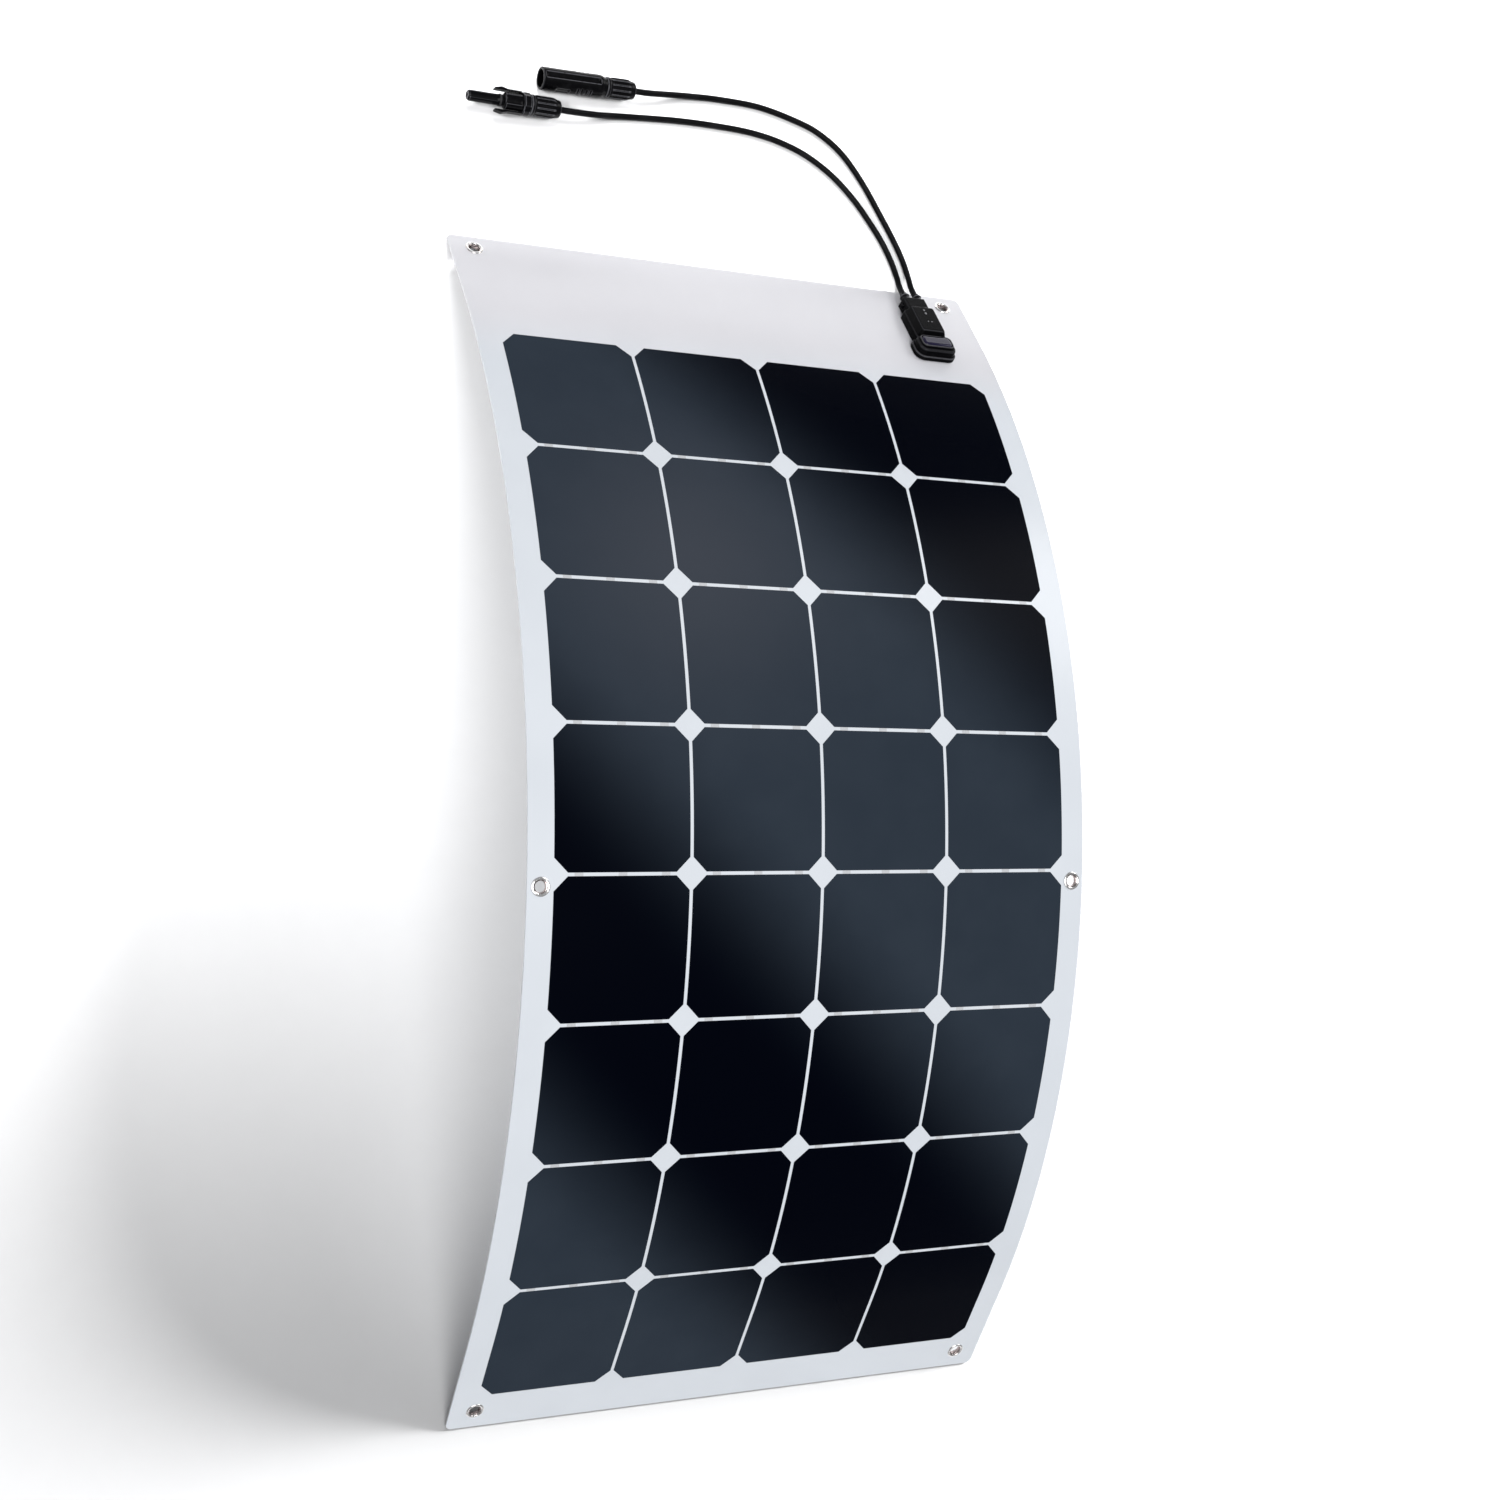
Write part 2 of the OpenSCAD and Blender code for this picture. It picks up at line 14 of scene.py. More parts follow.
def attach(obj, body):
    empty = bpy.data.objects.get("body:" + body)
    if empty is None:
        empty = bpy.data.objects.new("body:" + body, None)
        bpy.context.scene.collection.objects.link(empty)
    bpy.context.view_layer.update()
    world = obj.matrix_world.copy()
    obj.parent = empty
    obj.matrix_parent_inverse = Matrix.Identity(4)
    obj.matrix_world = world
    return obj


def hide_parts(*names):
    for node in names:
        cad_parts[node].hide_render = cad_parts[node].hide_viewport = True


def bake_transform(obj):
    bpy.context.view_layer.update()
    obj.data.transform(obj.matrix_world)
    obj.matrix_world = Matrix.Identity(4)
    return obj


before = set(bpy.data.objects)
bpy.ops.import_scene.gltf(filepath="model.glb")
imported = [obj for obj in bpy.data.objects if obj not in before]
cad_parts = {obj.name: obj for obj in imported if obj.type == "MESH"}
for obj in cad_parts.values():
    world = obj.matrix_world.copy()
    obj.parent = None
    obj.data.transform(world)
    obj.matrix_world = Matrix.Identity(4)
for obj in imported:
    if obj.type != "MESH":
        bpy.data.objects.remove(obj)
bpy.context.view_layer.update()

# %% [markdown]
# ## Camera
# The camera looks down on the sheet from the left. It comes first, so that everything built
# later is judged from the same place. Its turns are given as three simple rotations of a camera
# that looks straight down: a roll, a swing to the side and a small lift.

# %% Camera
image_side = 1500
focal_in_image = 2162.4
camera_data = bpy.data.cameras.new("camera")
camera_data.sensor_width = 36
camera_data.lens = 36 * focal_in_image / image_side
camera_data.clip_end = 50
camera = bpy.data.objects.new("camera", camera_data)
bpy.context.scene.collection.objects.link(camera)
camera.matrix_world = (
    Matrix.Translation((-0.9187, -0.0389, 1.8891))
    @ Matrix.Rotation(-0.0074, 4, "Z")
    @ Matrix.Rotation(-0.4670, 4, "Y")
    @ Matrix.Rotation(0.0559, 4, "X")
)
bpy.context.scene.camera = camera
print("lens", round(camera_data.lens, 1), "mm")

# %% [markdown]
# ## The arch
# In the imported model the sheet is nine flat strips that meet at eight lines. A real sheet bends
# smoothly, so the visible one is a row of arcs, each tangent to two neighbouring strips at their
# middles. A place on the sheet is given as x across it and d, the distance down it from the
# header's edge as it would be measured with the sheet laid flat.

# %% Sizes of the sheet
mm = 0.001
cell = 125 * mm
gap = 3 * mm
pitch = cell + gap
header = 135 * mm
footer = 40 * mm
side_band = 23.5 * mm
thickness = 2 * mm
columns = 4
rows = 8
flex = np.radians(9.2)
half_width = (columns * cell + (columns - 1) * gap) / 2 + side_band
strip_names = ["header"] + [f"row_{i}" for i in range(1, rows + 1)]
middle = 4
strip_lengths = np.array([header - gap / 2] + [pitch] * (rows - 1) + [pitch + footer - gap / 2])
sheet_length = strip_lengths.sum()
print("sheet laid flat", round(2 * half_width, 4), "by", round(sheet_length, 4), "m")

# %% Lines of the arch
steps = np.abs(np.arange(rows + 1) - middle) * flex
side = np.sign(np.arange(rows + 1) - middle)
rise = (strip_lengths * np.sin(steps) * side).sum()
lean = np.arctan2(rise, (strip_lengths * np.cos(steps)).sum())
tilts = lean + flex * (middle - np.arange(rows + 1))
line_y = np.concatenate([[0], -np.cumsum(strip_lengths * np.cos(tilts))])
line_z = np.concatenate([[0], np.cumsum(strip_lengths * np.sin(tilts))])
line_z += thickness * np.cos(tilts[-1]) - line_z[-1]
line_y -= line_y[-1] / 2
print("arch is", round(line_y[0] - line_y[-1], 4), "m long and", round(line_z.max(), 4), "m high")

# %% Curve of the arch
arc_half = pitch / 2
arc_radius = arc_half / np.tan(flex / 2)
first_bend = strip_lengths[0] - arc_half
last_bend = first_bend + rows * pitch
bends = first_bend + pitch * np.arange(rows + 1)


def arch(d):
    """Height and run of the sheet's top face at d, with the lean of its normal towards +Y.
    On bend i the lean falls evenly by one flex angle, about a centre one radius below the
    strip's middle. Before the first bend and after the last one the sheet is straight."""
    d = np.asarray(d, float)
    i = np.clip(np.floor((d - first_bend) / pitch).astype(int), 0, rows - 1)
    share = np.clip((d - bends[i]) / pitch, 0, 1)
    start_y = line_y[i + 1] + arc_half * np.cos(tilts[i])
    start_z = line_z[i + 1] - arc_half * np.sin(tilts[i])
    angle = tilts[i] - flex * share
    y = start_y + arc_radius * (np.sin(angle) - np.sin(tilts[i]))
    z = start_z + arc_radius * (np.cos(angle) - np.cos(tilts[i]))
    straight = np.minimum(d - first_bend, 0) + np.maximum(d - last_bend, 0)
    return y - straight * np.cos(angle), z + straight * np.sin(angle), angle


def on_sheet(x, d, height):
    """Point above the sheet at (x, d): the arch's point moved along its normal by height."""
    x, d, height = np.broadcast_arrays(x, d, height)
    y, z, angle = arch(d)
    return np.stack([x, y + height * np.sin(angle), z + height * np.cos(angle)], -1)


def sheet_normal(x, d):
    """Outward direction of the top face at (x, d)."""
    x, d = np.broadcast_arrays(x, d)
    angle = arch(d)[2]
    return np.stack([0 * angle, np.sin(angle), np.cos(angle)], -1)


print("bend radius", round(arc_radius, 3), "m")

# %% [markdown]
# ## Joining pieces to bodies
# A piece on a straight end rides on that end's body. A piece on a bend is built in place on the
# arch and rides on no body.


# %% Helpers that carry a piece
def carry(piece, bend, stands_for=()):
    """Bend -1 is the straight end by the header, and bend `rows` the other straight end."""
    if bend < 0:
        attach(piece, "header")
    elif bend >= rows:
        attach(piece, strip_names[-1])
    else:
        a, b = on_sheet(0, bends[bend : bend + 2], 0)
        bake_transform(piece)
    if stands_for:
        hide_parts(*stands_for)


def on_header(piece, stands_for):
    """A stiff piece on the header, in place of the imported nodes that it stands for."""
    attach(piece, "header")
    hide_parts(*stands_for)


def make_piece(name, points, faces, finish, normals=None):
    """A smooth-shaded mesh from arrays. normals are one per face corner."""
    mesh = bpy.data.meshes.new(name)
    mesh.from_pydata(points.reshape(-1, 3).tolist(), [], faces)
    mesh.materials.append(finish)
    mesh.polygons.foreach_set("use_smooth", np.full(len(mesh.polygons), True))
    if normals is not None:
        mesh.normals_split_custom_set(normals.tolist())
    mesh.update()
    piece = bpy.data.objects.new(name, mesh)
    bpy.context.scene.collection.objects.link(piece)
    return piece


# %% [markdown]
# ## Shader helper
# A material's pattern is arithmetic on sockets. A small class wraps a socket so that the pattern
# can be written as a plain expression, and one method adds any other node.


# %% Wire
class Wire:
    """An output socket of a node tree that takes part in arithmetic."""

    def __init__(self, tree, socket=None):
        self.tree, self.socket = tree, socket

    def node(self, kind, settings, sockets, output=0):
        """Adds a node, sets its settings, then its sockets, and gives one of its outputs."""
        added = self.tree.nodes.new(kind)
        for name, value in settings.items():
            setattr(added, name, value)
        for name, value in sockets.items():
            if isinstance(value, Wire):
                self.tree.links.new(value.socket, added.inputs[name])
            else:
                added.inputs[name].default_value = value
        return Wire(self.tree, added.outputs[output])

    def maths(self, operation, a, b=0.0):
        return self.node("ShaderNodeMath", {"operation": operation}, {0: a, 1: b})

    def __add__(self, other):
        return self.maths("ADD", self, other)

    def __sub__(self, other):
        return self.maths("SUBTRACT", self, other)

    def __rsub__(self, other):
        return self.maths("SUBTRACT", other, self)

    def __mul__(self, other):
        return self.maths("MULTIPLY", self, other)

    __radd__, __rmul__ = __add__, __mul__

    def step(self, low, high):
        """0 below low, 1 above high, and smooth between them."""
        return self.node(
            "ShaderNodeMapRange",
            {"interpolation_type": "SMOOTHSTEP"},
            {"Value": self, "From Min": low, "From Max": high},
        )

    def blend(self, a, b):
        """Colour a where this is 0 and colour b where it is 1."""
        return self.node(
            "ShaderNodeMix", {"data_type": "RGBA"}, {"Factor": self, 6: a, 7: b}, output=2
        )


def place_of(wire):
    """The point's place in the row's frame, in metres."""
    return wire.node("ShaderNodeTexCoord", {}, {}, output="Object")


def noise(wire, scale, detail=3.0):
    """Soft random pattern from 0 to 1, with `scale` lumps to the metre."""
    return wire.node(
        "ShaderNodeTexNoise",
        {},
        {"Vector": place_of(wire), "Scale": scale, "Detail": detail},
    )


def bump(wire, height, strength, distance):
    return wire.node(
        "ShaderNodeBump", {}, {"Height": height, "Strength": strength, "Distance": distance}
    )


def make_finish(name, constants, varying):
    """A Principled material: constants sit on its sockets, and varying(wire) gives the rest."""
    finish = bpy.data.materials.new(name)
    finish.use_nodes = True
    tree = finish.node_tree
    shader = tree.nodes["Principled BSDF"]
    for socket, value in constants.items():
        shader.inputs[socket].default_value = value
    for socket, wire in varying(Wire(tree)).items():
        tree.links.new(wire.socket, shader.inputs[socket])
    return finish


# %% [markdown]
# ## Cables
# The two cables are 6 mm solar leads with a stiff rubber jacket. Each leaves its gland down the
# slope of the header, bends onto the surface that the sheet stands on, and swings round to lie
# behind the header. A lead is a smooth curve through listed points, the same points as in the
# imported model, with a round bevel.


# %% Jacket of the cables
def jacket(wire):
    dust = noise(wire, 900, 4).step(0.35, 0.75)
    scuff = noise(wire, 60, 2).step(0.45, 0.7)
    return {
        "Base Color": scuff.blend((0.003, 0.003, 0.0035, 1), (0.007, 0.007, 0.008, 1)),
        "Roughness": dust * 0.14 + 0.36,
        "Normal": bump(wire, dust, 0.15, 0.0002),
    }


jacket_black = make_finish("jacket_black", {"Specular IOR Level": 0.06}, jacket)

# %% Routes of the cables
cable = 6 * mm
box_x = 212 * mm
cable_pitch = 14 * mm
box_in = 22 * mm
gland_out = 4 * mm
exit_run = 16 * mm
cable_up = 8 * mm
exit_down = box_in - gland_out


def along_exit(x, distance):
    """Point on a cable that runs straight down the header's slope, out of its gland."""
    return on_sheet(x, exit_down - distance, cable_up)


def smooth_line(points, each):
    """Catmull-Rom curve: between two points it is a cubic whose slopes at its ends are half
    the way from the point before to the point after."""
    p = np.vstack([points[:1], points, points[-1:]])
    t = (np.arange(each) / each)[None, :, None]
    a, b, c, d = (p[k : len(p) - 3 + k, None, :] for k in range(4))
    curve = 0.5 * (
        2 * b + (c - a) * t + (2 * a - 5 * b + 4 * c - d) * t**2 + (3 * b - a - 3 * c + d) * t**3
    )
    return np.vstack([curve.reshape(-1, 3), points[-1:]])


plus_x = box_x + cable_pitch / 2
minus_x = box_x - cable_pitch / 2
plus_end = np.array([-92, 706, 11]) * mm
minus_end = np.array([-169, 676, 11]) * mm
plus_way = np.array([np.cos(np.radians(181.5)), np.sin(np.radians(181.5)), 0])
minus_way = np.array([-1, 0, 0])
seal_in = 8 * mm
plus_route = np.vstack([
    along_exit(plus_x, -2 * mm),
    along_exit(plus_x, exit_run),
    mm * np.array([
        [218, 562, 4.2], [213, 577, 3.2], [202.5, 597, 3.2], [186, 623, 3.2], [165, 654, 3.2],
        [142, 680, 3.2], [118, 696, 3.2], [94, 705, 3.2], [49, 714, 3.2], [4, 715, 3.2],
        [-28, 713, 4.2], [-52, 710, 7],
    ]),
    plus_end - 16 * mm * plus_way, plus_end, plus_end + seal_in * plus_way,
])
minus_route = np.vstack([
    along_exit(minus_x, -2 * mm),
    along_exit(minus_x, exit_run),
    mm * np.array([
        [204, 562, 4.2], [199, 575.5, 3.2], [188.5, 594, 3.2], [173.5, 614, 3.2], [155, 635, 3.2],
        [131, 655.5, 3.2], [102, 672, 3.2], [71, 682, 3.2], [38, 687, 3.2], [0, 688, 3.2],
        [-40, 687, 3.2], [-80, 684, 3.2], [-108, 681, 4.4], [-130, 678, 7.4],
    ]),
    minus_end - 14 * mm * minus_way, minus_end, minus_end + seal_in * minus_way,
])


# %% Cable curves
def lay_cable(name, route, stands_for):
    """A poly curve through the smooth line, with a round bevel of half the cable's width."""
    line = smooth_line(route, 6)
    curve = bpy.data.curves.new(name, "CURVE")
    curve.dimensions = "3D"
    curve.bevel_depth = cable / 2
    curve.bevel_resolution = 5
    curve.use_fill_caps = True
    spline = curve.splines.new("POLY")
    spline.points.add(len(line) - 1)
    spline.points.foreach_set("co", np.c_[line, np.ones(len(line))].ravel())
    curve.materials.append(jacket_black)
    piece = bpy.data.objects.new(name, curve)
    bpy.context.scene.collection.objects.link(piece)
    on_header(piece, [stands_for])
    length = np.linalg.norm(np.diff(line, axis=0), axis=1).sum()
    print(name, "is", round(length, 3), "m long")
    return piece, line[0], length


plus_cable, plus_exit, plus_length = lay_cable("lead_plus", plus_route, "plus_cable")
minus_cable, minus_exit, minus_length = lay_cable("lead_minus", minus_route, "minus_cable")

# %% [markdown]
# ## Shapes made from grids
# A plate is a grid of points on the sheet, thickened along the normal. Squares of the grid can
# be left out, which makes the holes under the grommets. The corner directions are worked out
# from the formula, so that light runs on without a line where one plate meets the next.


# %% Plates
def plate(x, d, low, high, keep):
    """Closed slab over grid points (x, d), from height low to high above the sheet. keep says
    which squares are solid. Gives points, faces and one direction per face corner."""
    n, m = x.shape
    index = np.arange(n * m).reshape(n, m)
    top, bottom = on_sheet(x, d, high), on_sheet(x, d, low)
    up = sheet_normal(x, d).reshape(-1, 3)
    a, b = index[:-1, :-1], index[:-1, 1:]
    c, e = index[1:, 1:], index[1:, :-1]
    upper = np.stack([a, b, c, e], -1)[keep]
    lower = np.stack([e, c, b, a], -1)[keep] + n * m
    solid = np.pad(keep, 1)
    walls = []
    for edge, beside in (
        ((a, b), solid[:-2, 1:-1]), ((b, c), solid[1:-1, 2:]),
        ((c, e), solid[2:, 1:-1]), ((e, a), solid[1:-1, :-2]),
    ):
        open_side = keep & ~beside
        p, q = edge[0][open_side], edge[1][open_side]
        walls.append(np.stack([q, p, p + n * m, q + n * m], -1))
    walls = np.concatenate(walls)
    points = np.concatenate([top.reshape(-1, 3), bottom.reshape(-1, 3)])
    across = points[walls[:, 1]] - points[walls[:, 0]]
    out = np.cross(across, points[walls[:, 3]] - points[walls[:, 0]])
    out /= np.maximum(np.linalg.norm(out, axis=1, keepdims=True), 1e-12)
    directions = np.concatenate([
        up[upper].reshape(-1, 3), -up[lower - n * m].reshape(-1, 3), np.repeat(out, 4, axis=0)
    ])
    return points, np.concatenate([upper, lower, walls]), directions


def join(parts):
    """Puts several plates into one set of arrays."""
    starts = np.cumsum([0] + [len(part[0]) for part in parts[:-1]])
    return (
        np.concatenate([part[0] for part in parts]),
        np.concatenate([part[1] + start for part, start in zip(parts, starts)]),
        np.concatenate([part[2] for part in parts]),
    )


# %% [markdown]
# ## White laminate
# The back sheet is white plastic under a clear, slightly embossed front film. It looks like one
# white sheet with a soft gloss, so film and back sheet are one piece here. The gloss is a clear
# coat, and very fine bumps break its reflections up.


# %% Laminate finish
def laminate(wire):
    grain = noise(wire, 1400, 2)
    cloud = noise(wire, 9, 3).step(0.3, 0.7)
    y = place_of(wire).node("ShaderNodeSeparateXYZ", {}, {"Vector": place_of(wire)}, output="Y")
    cool = cloud.blend((0.575, 0.605, 0.645, 1), (0.60, 0.63, 0.67, 1))
    warm = cloud.blend((0.59, 0.585, 0.615, 1), (0.61, 0.605, 0.635, 1))
    return {
        "Base Color": y.step(0.40, 0.47).blend(cool, warm),
        "Roughness": cloud * 0.08 + 0.42,
        "Normal": bump(wire, grain, 0.12, 0.0002),
    }


laminate_white = make_finish(
    "laminate_white", {"Coat Weight": 0.5, "Coat Roughness": 0.22, "IOR": 1.45}, laminate
)

# %% Laminate pieces
corner_radius = 6 * mm
hole_half = 5.8 * mm
grommets = {
    "top_left": (-1, 24 * mm, 17 * mm), "top_right": (1, 24 * mm, 17 * mm),
    "middle_left": (-1, 12 * mm, strip_lengths[:5].sum() + 10 * mm),
    "middle_right": (1, 12 * mm, strip_lengths[:5].sum() + 10 * mm),
    "bottom_left": (-1, 24 * mm, sheet_length - 21 * mm),
    "bottom_right": (1, 24 * mm, sheet_length - 21 * mm),
}
grommets = {name: (s * (half_width - inner), d) for name, (s, inner, d) in grommets.items()}


def bend_at(d):
    """Number of the bend that holds d."""
    return int(np.clip(np.floor((d - first_bend) / pitch), -1, rows))


def rounded_half(d):
    """Half the sheet's width at d: full, less a quarter circle's fall near the short edges."""
    near = np.minimum(np.minimum(d, sheet_length - d), corner_radius)
    fall = corner_radius - np.sqrt(np.maximum(corner_radius**2 - (corner_radius - near) ** 2, 0))
    return half_width - fall


def lines(low, high, count, extra):
    """Grid lines from low to high with the extra ones among them."""
    return np.unique(np.round(np.concatenate([np.linspace(low, high, count), extra]), 6))


for bend in range(-1, rows + 1):
    low = 0 if bend < 0 else bends[bend]
    high = first_bend if bend < 0 else sheet_length if bend == rows else bends[bend + 1]
    holes = [place for place in grommets.values() if bend_at(place[1]) == bend]
    hole_x = [x + s * hole_half for x, _ in holes for s in (-1, 1)]
    hole_d = [d + s * hole_half for _, d in holes for s in (-1, 1)]
    if bend in (-1, rows):
        round_d = corner_radius * (1 - np.cos(np.linspace(0, np.pi / 2, 9)))
        hole_d += list(round_d if bend < 0 else sheet_length - round_d)
    across, down = lines(-half_width, half_width, 31, hole_x), lines(low, high, 25, hole_d)
    x, d = np.meshgrid(across / half_width, down, indexing="ij")
    mid_x = (across[1:] + across[:-1])[:, None] / 2
    mid_d = (down[1:] + down[:-1])[None, :] / 2
    keep = np.ones((len(across) - 1, len(down) - 1), bool)
    for hx, hd in holes:
        keep &= (abs(mid_x - hx) > hole_half) | (abs(mid_d - hd) > hole_half)
    points, faces, directions = plate(x * rounded_half(d), d, -thickness, 0, keep)
    ends = {-1: "laminate_header", rows: "laminate_foot"}
    name = ends.get(bend, f"laminate_bend_{bend + 1}")
    piece = make_piece(name, points, faces.tolist(), laminate_white, normals=directions)
    strips = {strip_names[min(max(bend, 0), rows)], strip_names[min(bend + 1, rows)]}
    hidden = [f"{s}_{layer}" for s in sorted(strips) for layer in ("film", "back")]
    hidden += ["header_ribbons"] if bend < 0 else ["footer_ribbons"] if bend == rows else []
    carry(piece, bend, hidden)
print("laminate from", len(range(-1, rows + 1)), "pieces")

# %% [markdown]
# ## Cells
# Each cell is a dark blue-black square with cut corners and no lines on its face, because its
# contacts are all behind. The sheet bends in the middle of a piece, so a cell is made in two
# halves that meet without a line. Its colour carries a painted reflection of the room: some
# cells are painted slate grey and some almost black, in soft slanting bands that jump a little
# from one cell to the next, and a painted glow lightens the second row's left cells. This painted
# reflection and light is worked out for each point and stored on the mesh, where the finish reads
# it.

# %% Cell sizes
cell_cut = 12.6 * mm
cell_proud = 0.05 * mm
cell_sunk = 0.3 * mm
cell_x = (np.arange(columns) - (columns - 1) / 2) * pitch
cell_d = header + cell / 2 + pitch * np.arange(rows)


def cut_half(v):
    """Half a cell's width at v from its middle: full, less the cut corner's straight fall."""
    return cell / 2 - np.maximum(np.abs(v) - (cell / 2 - cell_cut), 0)


def smooth(low, high, value):
    """0 below low, 1 above high, and a cubic between them."""
    t = np.clip((value - low) / (high - low), 0, 1)
    return t * t * (3 - 2 * t)


def band(column, row, u, v):
    """Share of painted dark reflection at (u, v) in a cell, both from -0.5 to 0.5. The painted dark
    fills the corner by the junction box, and a slanting band below it, from the left edge's middle
    to the foot's right corner. Each of the three edges is a straight slope over columns, rows, u
    and v, run through smooth(). The slopes over whole cells and inside one differ, which makes the
    small jumps. The last power turns an even fade of what the eye sees into one of reflected light."""
    inside = 0.95 * v - 0.95 * u
    corner = 1 - smooth(-2.73, -0.49, row - 1.12 * column + inside)
    upper = smooth(2.27, 4.19, row - 0.84 * column + inside)
    lower = 1 - smooth(4.6, 6.45, row - 0.92 * column + inside)
    light = 1 - np.clip(corner + upper * lower, 0, 1)
    return 1 - light**1.8


def haze_and_painted_glow(column, row, u, v):
    """Painted light near the second row's left cells: a bell curve over the distance to there."""
    away = (column + u - 1.6) ** 2 + (row + v - 2.3) ** 2
    return np.exp(-away / 0.9)


# %% Cell finish
def wafer(wire):
    # Painted reflection: the stored band value turns the slate near black where the room's
    # reflection is dark.
    painted_dark = wire.node("ShaderNodeAttribute", {"attribute_name": "band"}, {}, output="Fac")
    rim = wire.node("ShaderNodeAttribute", {"attribute_name": "rim"}, {}, output="Fac")
    grain = noise(wire, 2600, 2)
    cloud = noise(wire, 22, 4).step(0.25, 0.75)
    # Painted light: the stored haze value lightens the slate near the second row's left cells.
    painted_glow = wire.node("ShaderNodeAttribute", {"attribute_name": "haze_and_painted_glow"}, {}, output="Fac")
    slate = cloud.blend((0.0215, 0.0295, 0.0415, 1), (0.024, 0.0325, 0.045, 1))
    slate = (painted_glow * 0.8).blend(slate, (0.044, 0.050, 0.063, 1))
    face = painted_dark.blend(slate, (0.0003, 0.0008, 0.0030, 1))
    return {
        "Base Color": rim.step(0.7, 1.0).blend(face, (0.07, 0.08, 0.095, 1)),
        "Roughness": grain * 0.05 + 0.24,
        "Normal": bump(wire, grain, 0.05, 0.0001),
    }


wafer_dark = make_finish(
    "wafer_dark",
    {"Specular IOR Level": 0.02},
    wafer,
)

# %% Cell pieces
facets = 15


def half_cell(column, row, lower):
    """One half of a cell as a plate: u runs across it and v down it from its middle line."""
    bends_in = cell / 2 - cell_cut
    v = lines(0, cell / 2, facets, [bends_in]) * (1 if lower else -1)
    v = v if lower else v[::-1]
    rim_width = 0.7 * mm
    inner = 1 - 2 * rim_width / cell
    u = np.unique(np.concatenate([np.linspace(-inner, inner, 2 * facets), [-1, 1]]))
    v = np.sort(np.append(v, (cell / 2 - rim_width) * (1 if lower else -1)))
    u, v = np.meshgrid(u, v, indexing="ij")
    x, d = cell_x[column] + u * cut_half(v), cell_d[row] + v
    part = plate(x, d, -cell_sunk, cell_proud, np.ones(np.array(u.shape) - 1, bool))
    where = (column + 1, row + 1, u * cut_half(v) / cell, v / cell)
    # Painted reflection and painted light for each point of the half cell.
    painted_dark, painted_glow = band(*where).ravel(), haze_and_painted_glow(*where).ravel()
    rim = ((np.abs(u) > inner + 1e-9) | (np.abs(v) > cell / 2 - rim_width + 1e-9)).ravel()
    return part, np.tile(painted_dark, 2), np.tile(rim, 2), np.tile(painted_glow, 2)


def add_value(piece, name, values):
    layer = piece.data.attributes.new(name, "FLOAT", "POINT")
    layer.data.foreach_set("value", np.asarray(values, np.float32))


for bend in range(rows + 1):
    halves = [half_cell(c, bend - 1, True) for c in range(columns) if bend > 0]
    halves += [half_cell(c, bend, False) for c in range(columns) if bend < rows]
    points, faces, directions = join([half[0] for half in halves])
    piece = make_piece(f"cells_bend_{bend + 1}", points, faces.tolist(), wafer_dark, directions)
    # The painted reflection, the rim and the painted light are stored on the mesh.
    add_value(piece, "band", np.concatenate([half[1] for half in halves]))
    add_value(piece, "rim", np.concatenate([half[2] for half in halves]))
    add_value(piece, "haze_and_painted_glow", np.concatenate([half[3] for half in halves]))
    near = [row for row in (bend, bend + 1) if 1 <= row <= rows]
    hidden = [f"row_{row}_{layer}" for row in near for layer in ("cells", "tabs")]
    carry(piece, bend, hidden)
print("cells cover", round(rows * columns * (cell**2 - 2 * cell_cut**2), 3), "m2")

# %% [markdown]
# ## Tabs
# Flat tinned tabs join each cell to the next one. Only short grey stubs show in the white gaps,
# under the film. They are thin plates as well, so they follow the bend.


# %% Tabs
def tinned(wire):
    streak = noise(wire, 700, 2)
    return {
        "Base Color": streak.blend((0.40, 0.41, 0.43, 1), (0.52, 0.53, 0.55, 1)),
        "Roughness": streak * 0.1 + 0.4,
    }


tinned_copper = make_finish("tinned_copper", {"Coat Weight": 0.4, "Coat Roughness": 0.2}, tinned)
tab_half = 4 * mm
tab_pitch = 40 * mm
for bend in range(1, rows):
    middle_d = header + pitch * bend - gap / 2
    stubs = []
    for column in range(columns):
        for k in (-1, 0, 1):
            middle_x = cell_x[column] + k * tab_pitch
            x, d = np.meshgrid(
                middle_x + np.linspace(-tab_half, tab_half, 3),
                middle_d + np.linspace(-gap, gap, 3) / 2,
                indexing="ij",
            )
            stubs.append(plate(x, d, -0.1 * mm, 0.02 * mm, np.ones((2, 2), bool)))
    points, faces, directions = join(stubs)
    piece = make_piece(f"tabs_bend_{bend + 1}", points, faces.tolist(), tinned_copper, directions)
    carry(piece, bend, ())
print("tabs in", rows - 1, "gaps")

# %% [markdown]
# ## Turned parts
# Grommets, glands, nuts and couplers are turned shapes. One function carries a profile round an
# axis, and lets the radius change with the angle, which gives ribs, flats and slots.


# %% Turned shapes
def frame_at(origin, way):
    """Origin and three directions: two across the axis, the first one level or up, then way."""
    way = np.asarray(way, float) / np.linalg.norm(way)
    across = np.cross([0, 0, 1.0], way) if abs(way[2]) < 0.9 else np.array([1.0, 0, 0])
    across /= np.linalg.norm(across)
    return np.asarray(origin, float), across, np.cross(way, across), way


def ring_quads(count, sides):
    """Faces between rings: point j of ring k, its next one, and the same two of ring k + 1."""
    k, j = np.meshgrid(np.arange(count - 1) * sides, np.arange(sides), indexing="ij")
    after = (j + 1) % sides
    return np.stack([k + j, k + after, k + sides + after, k + sides + j], -1).reshape(-1, 4)


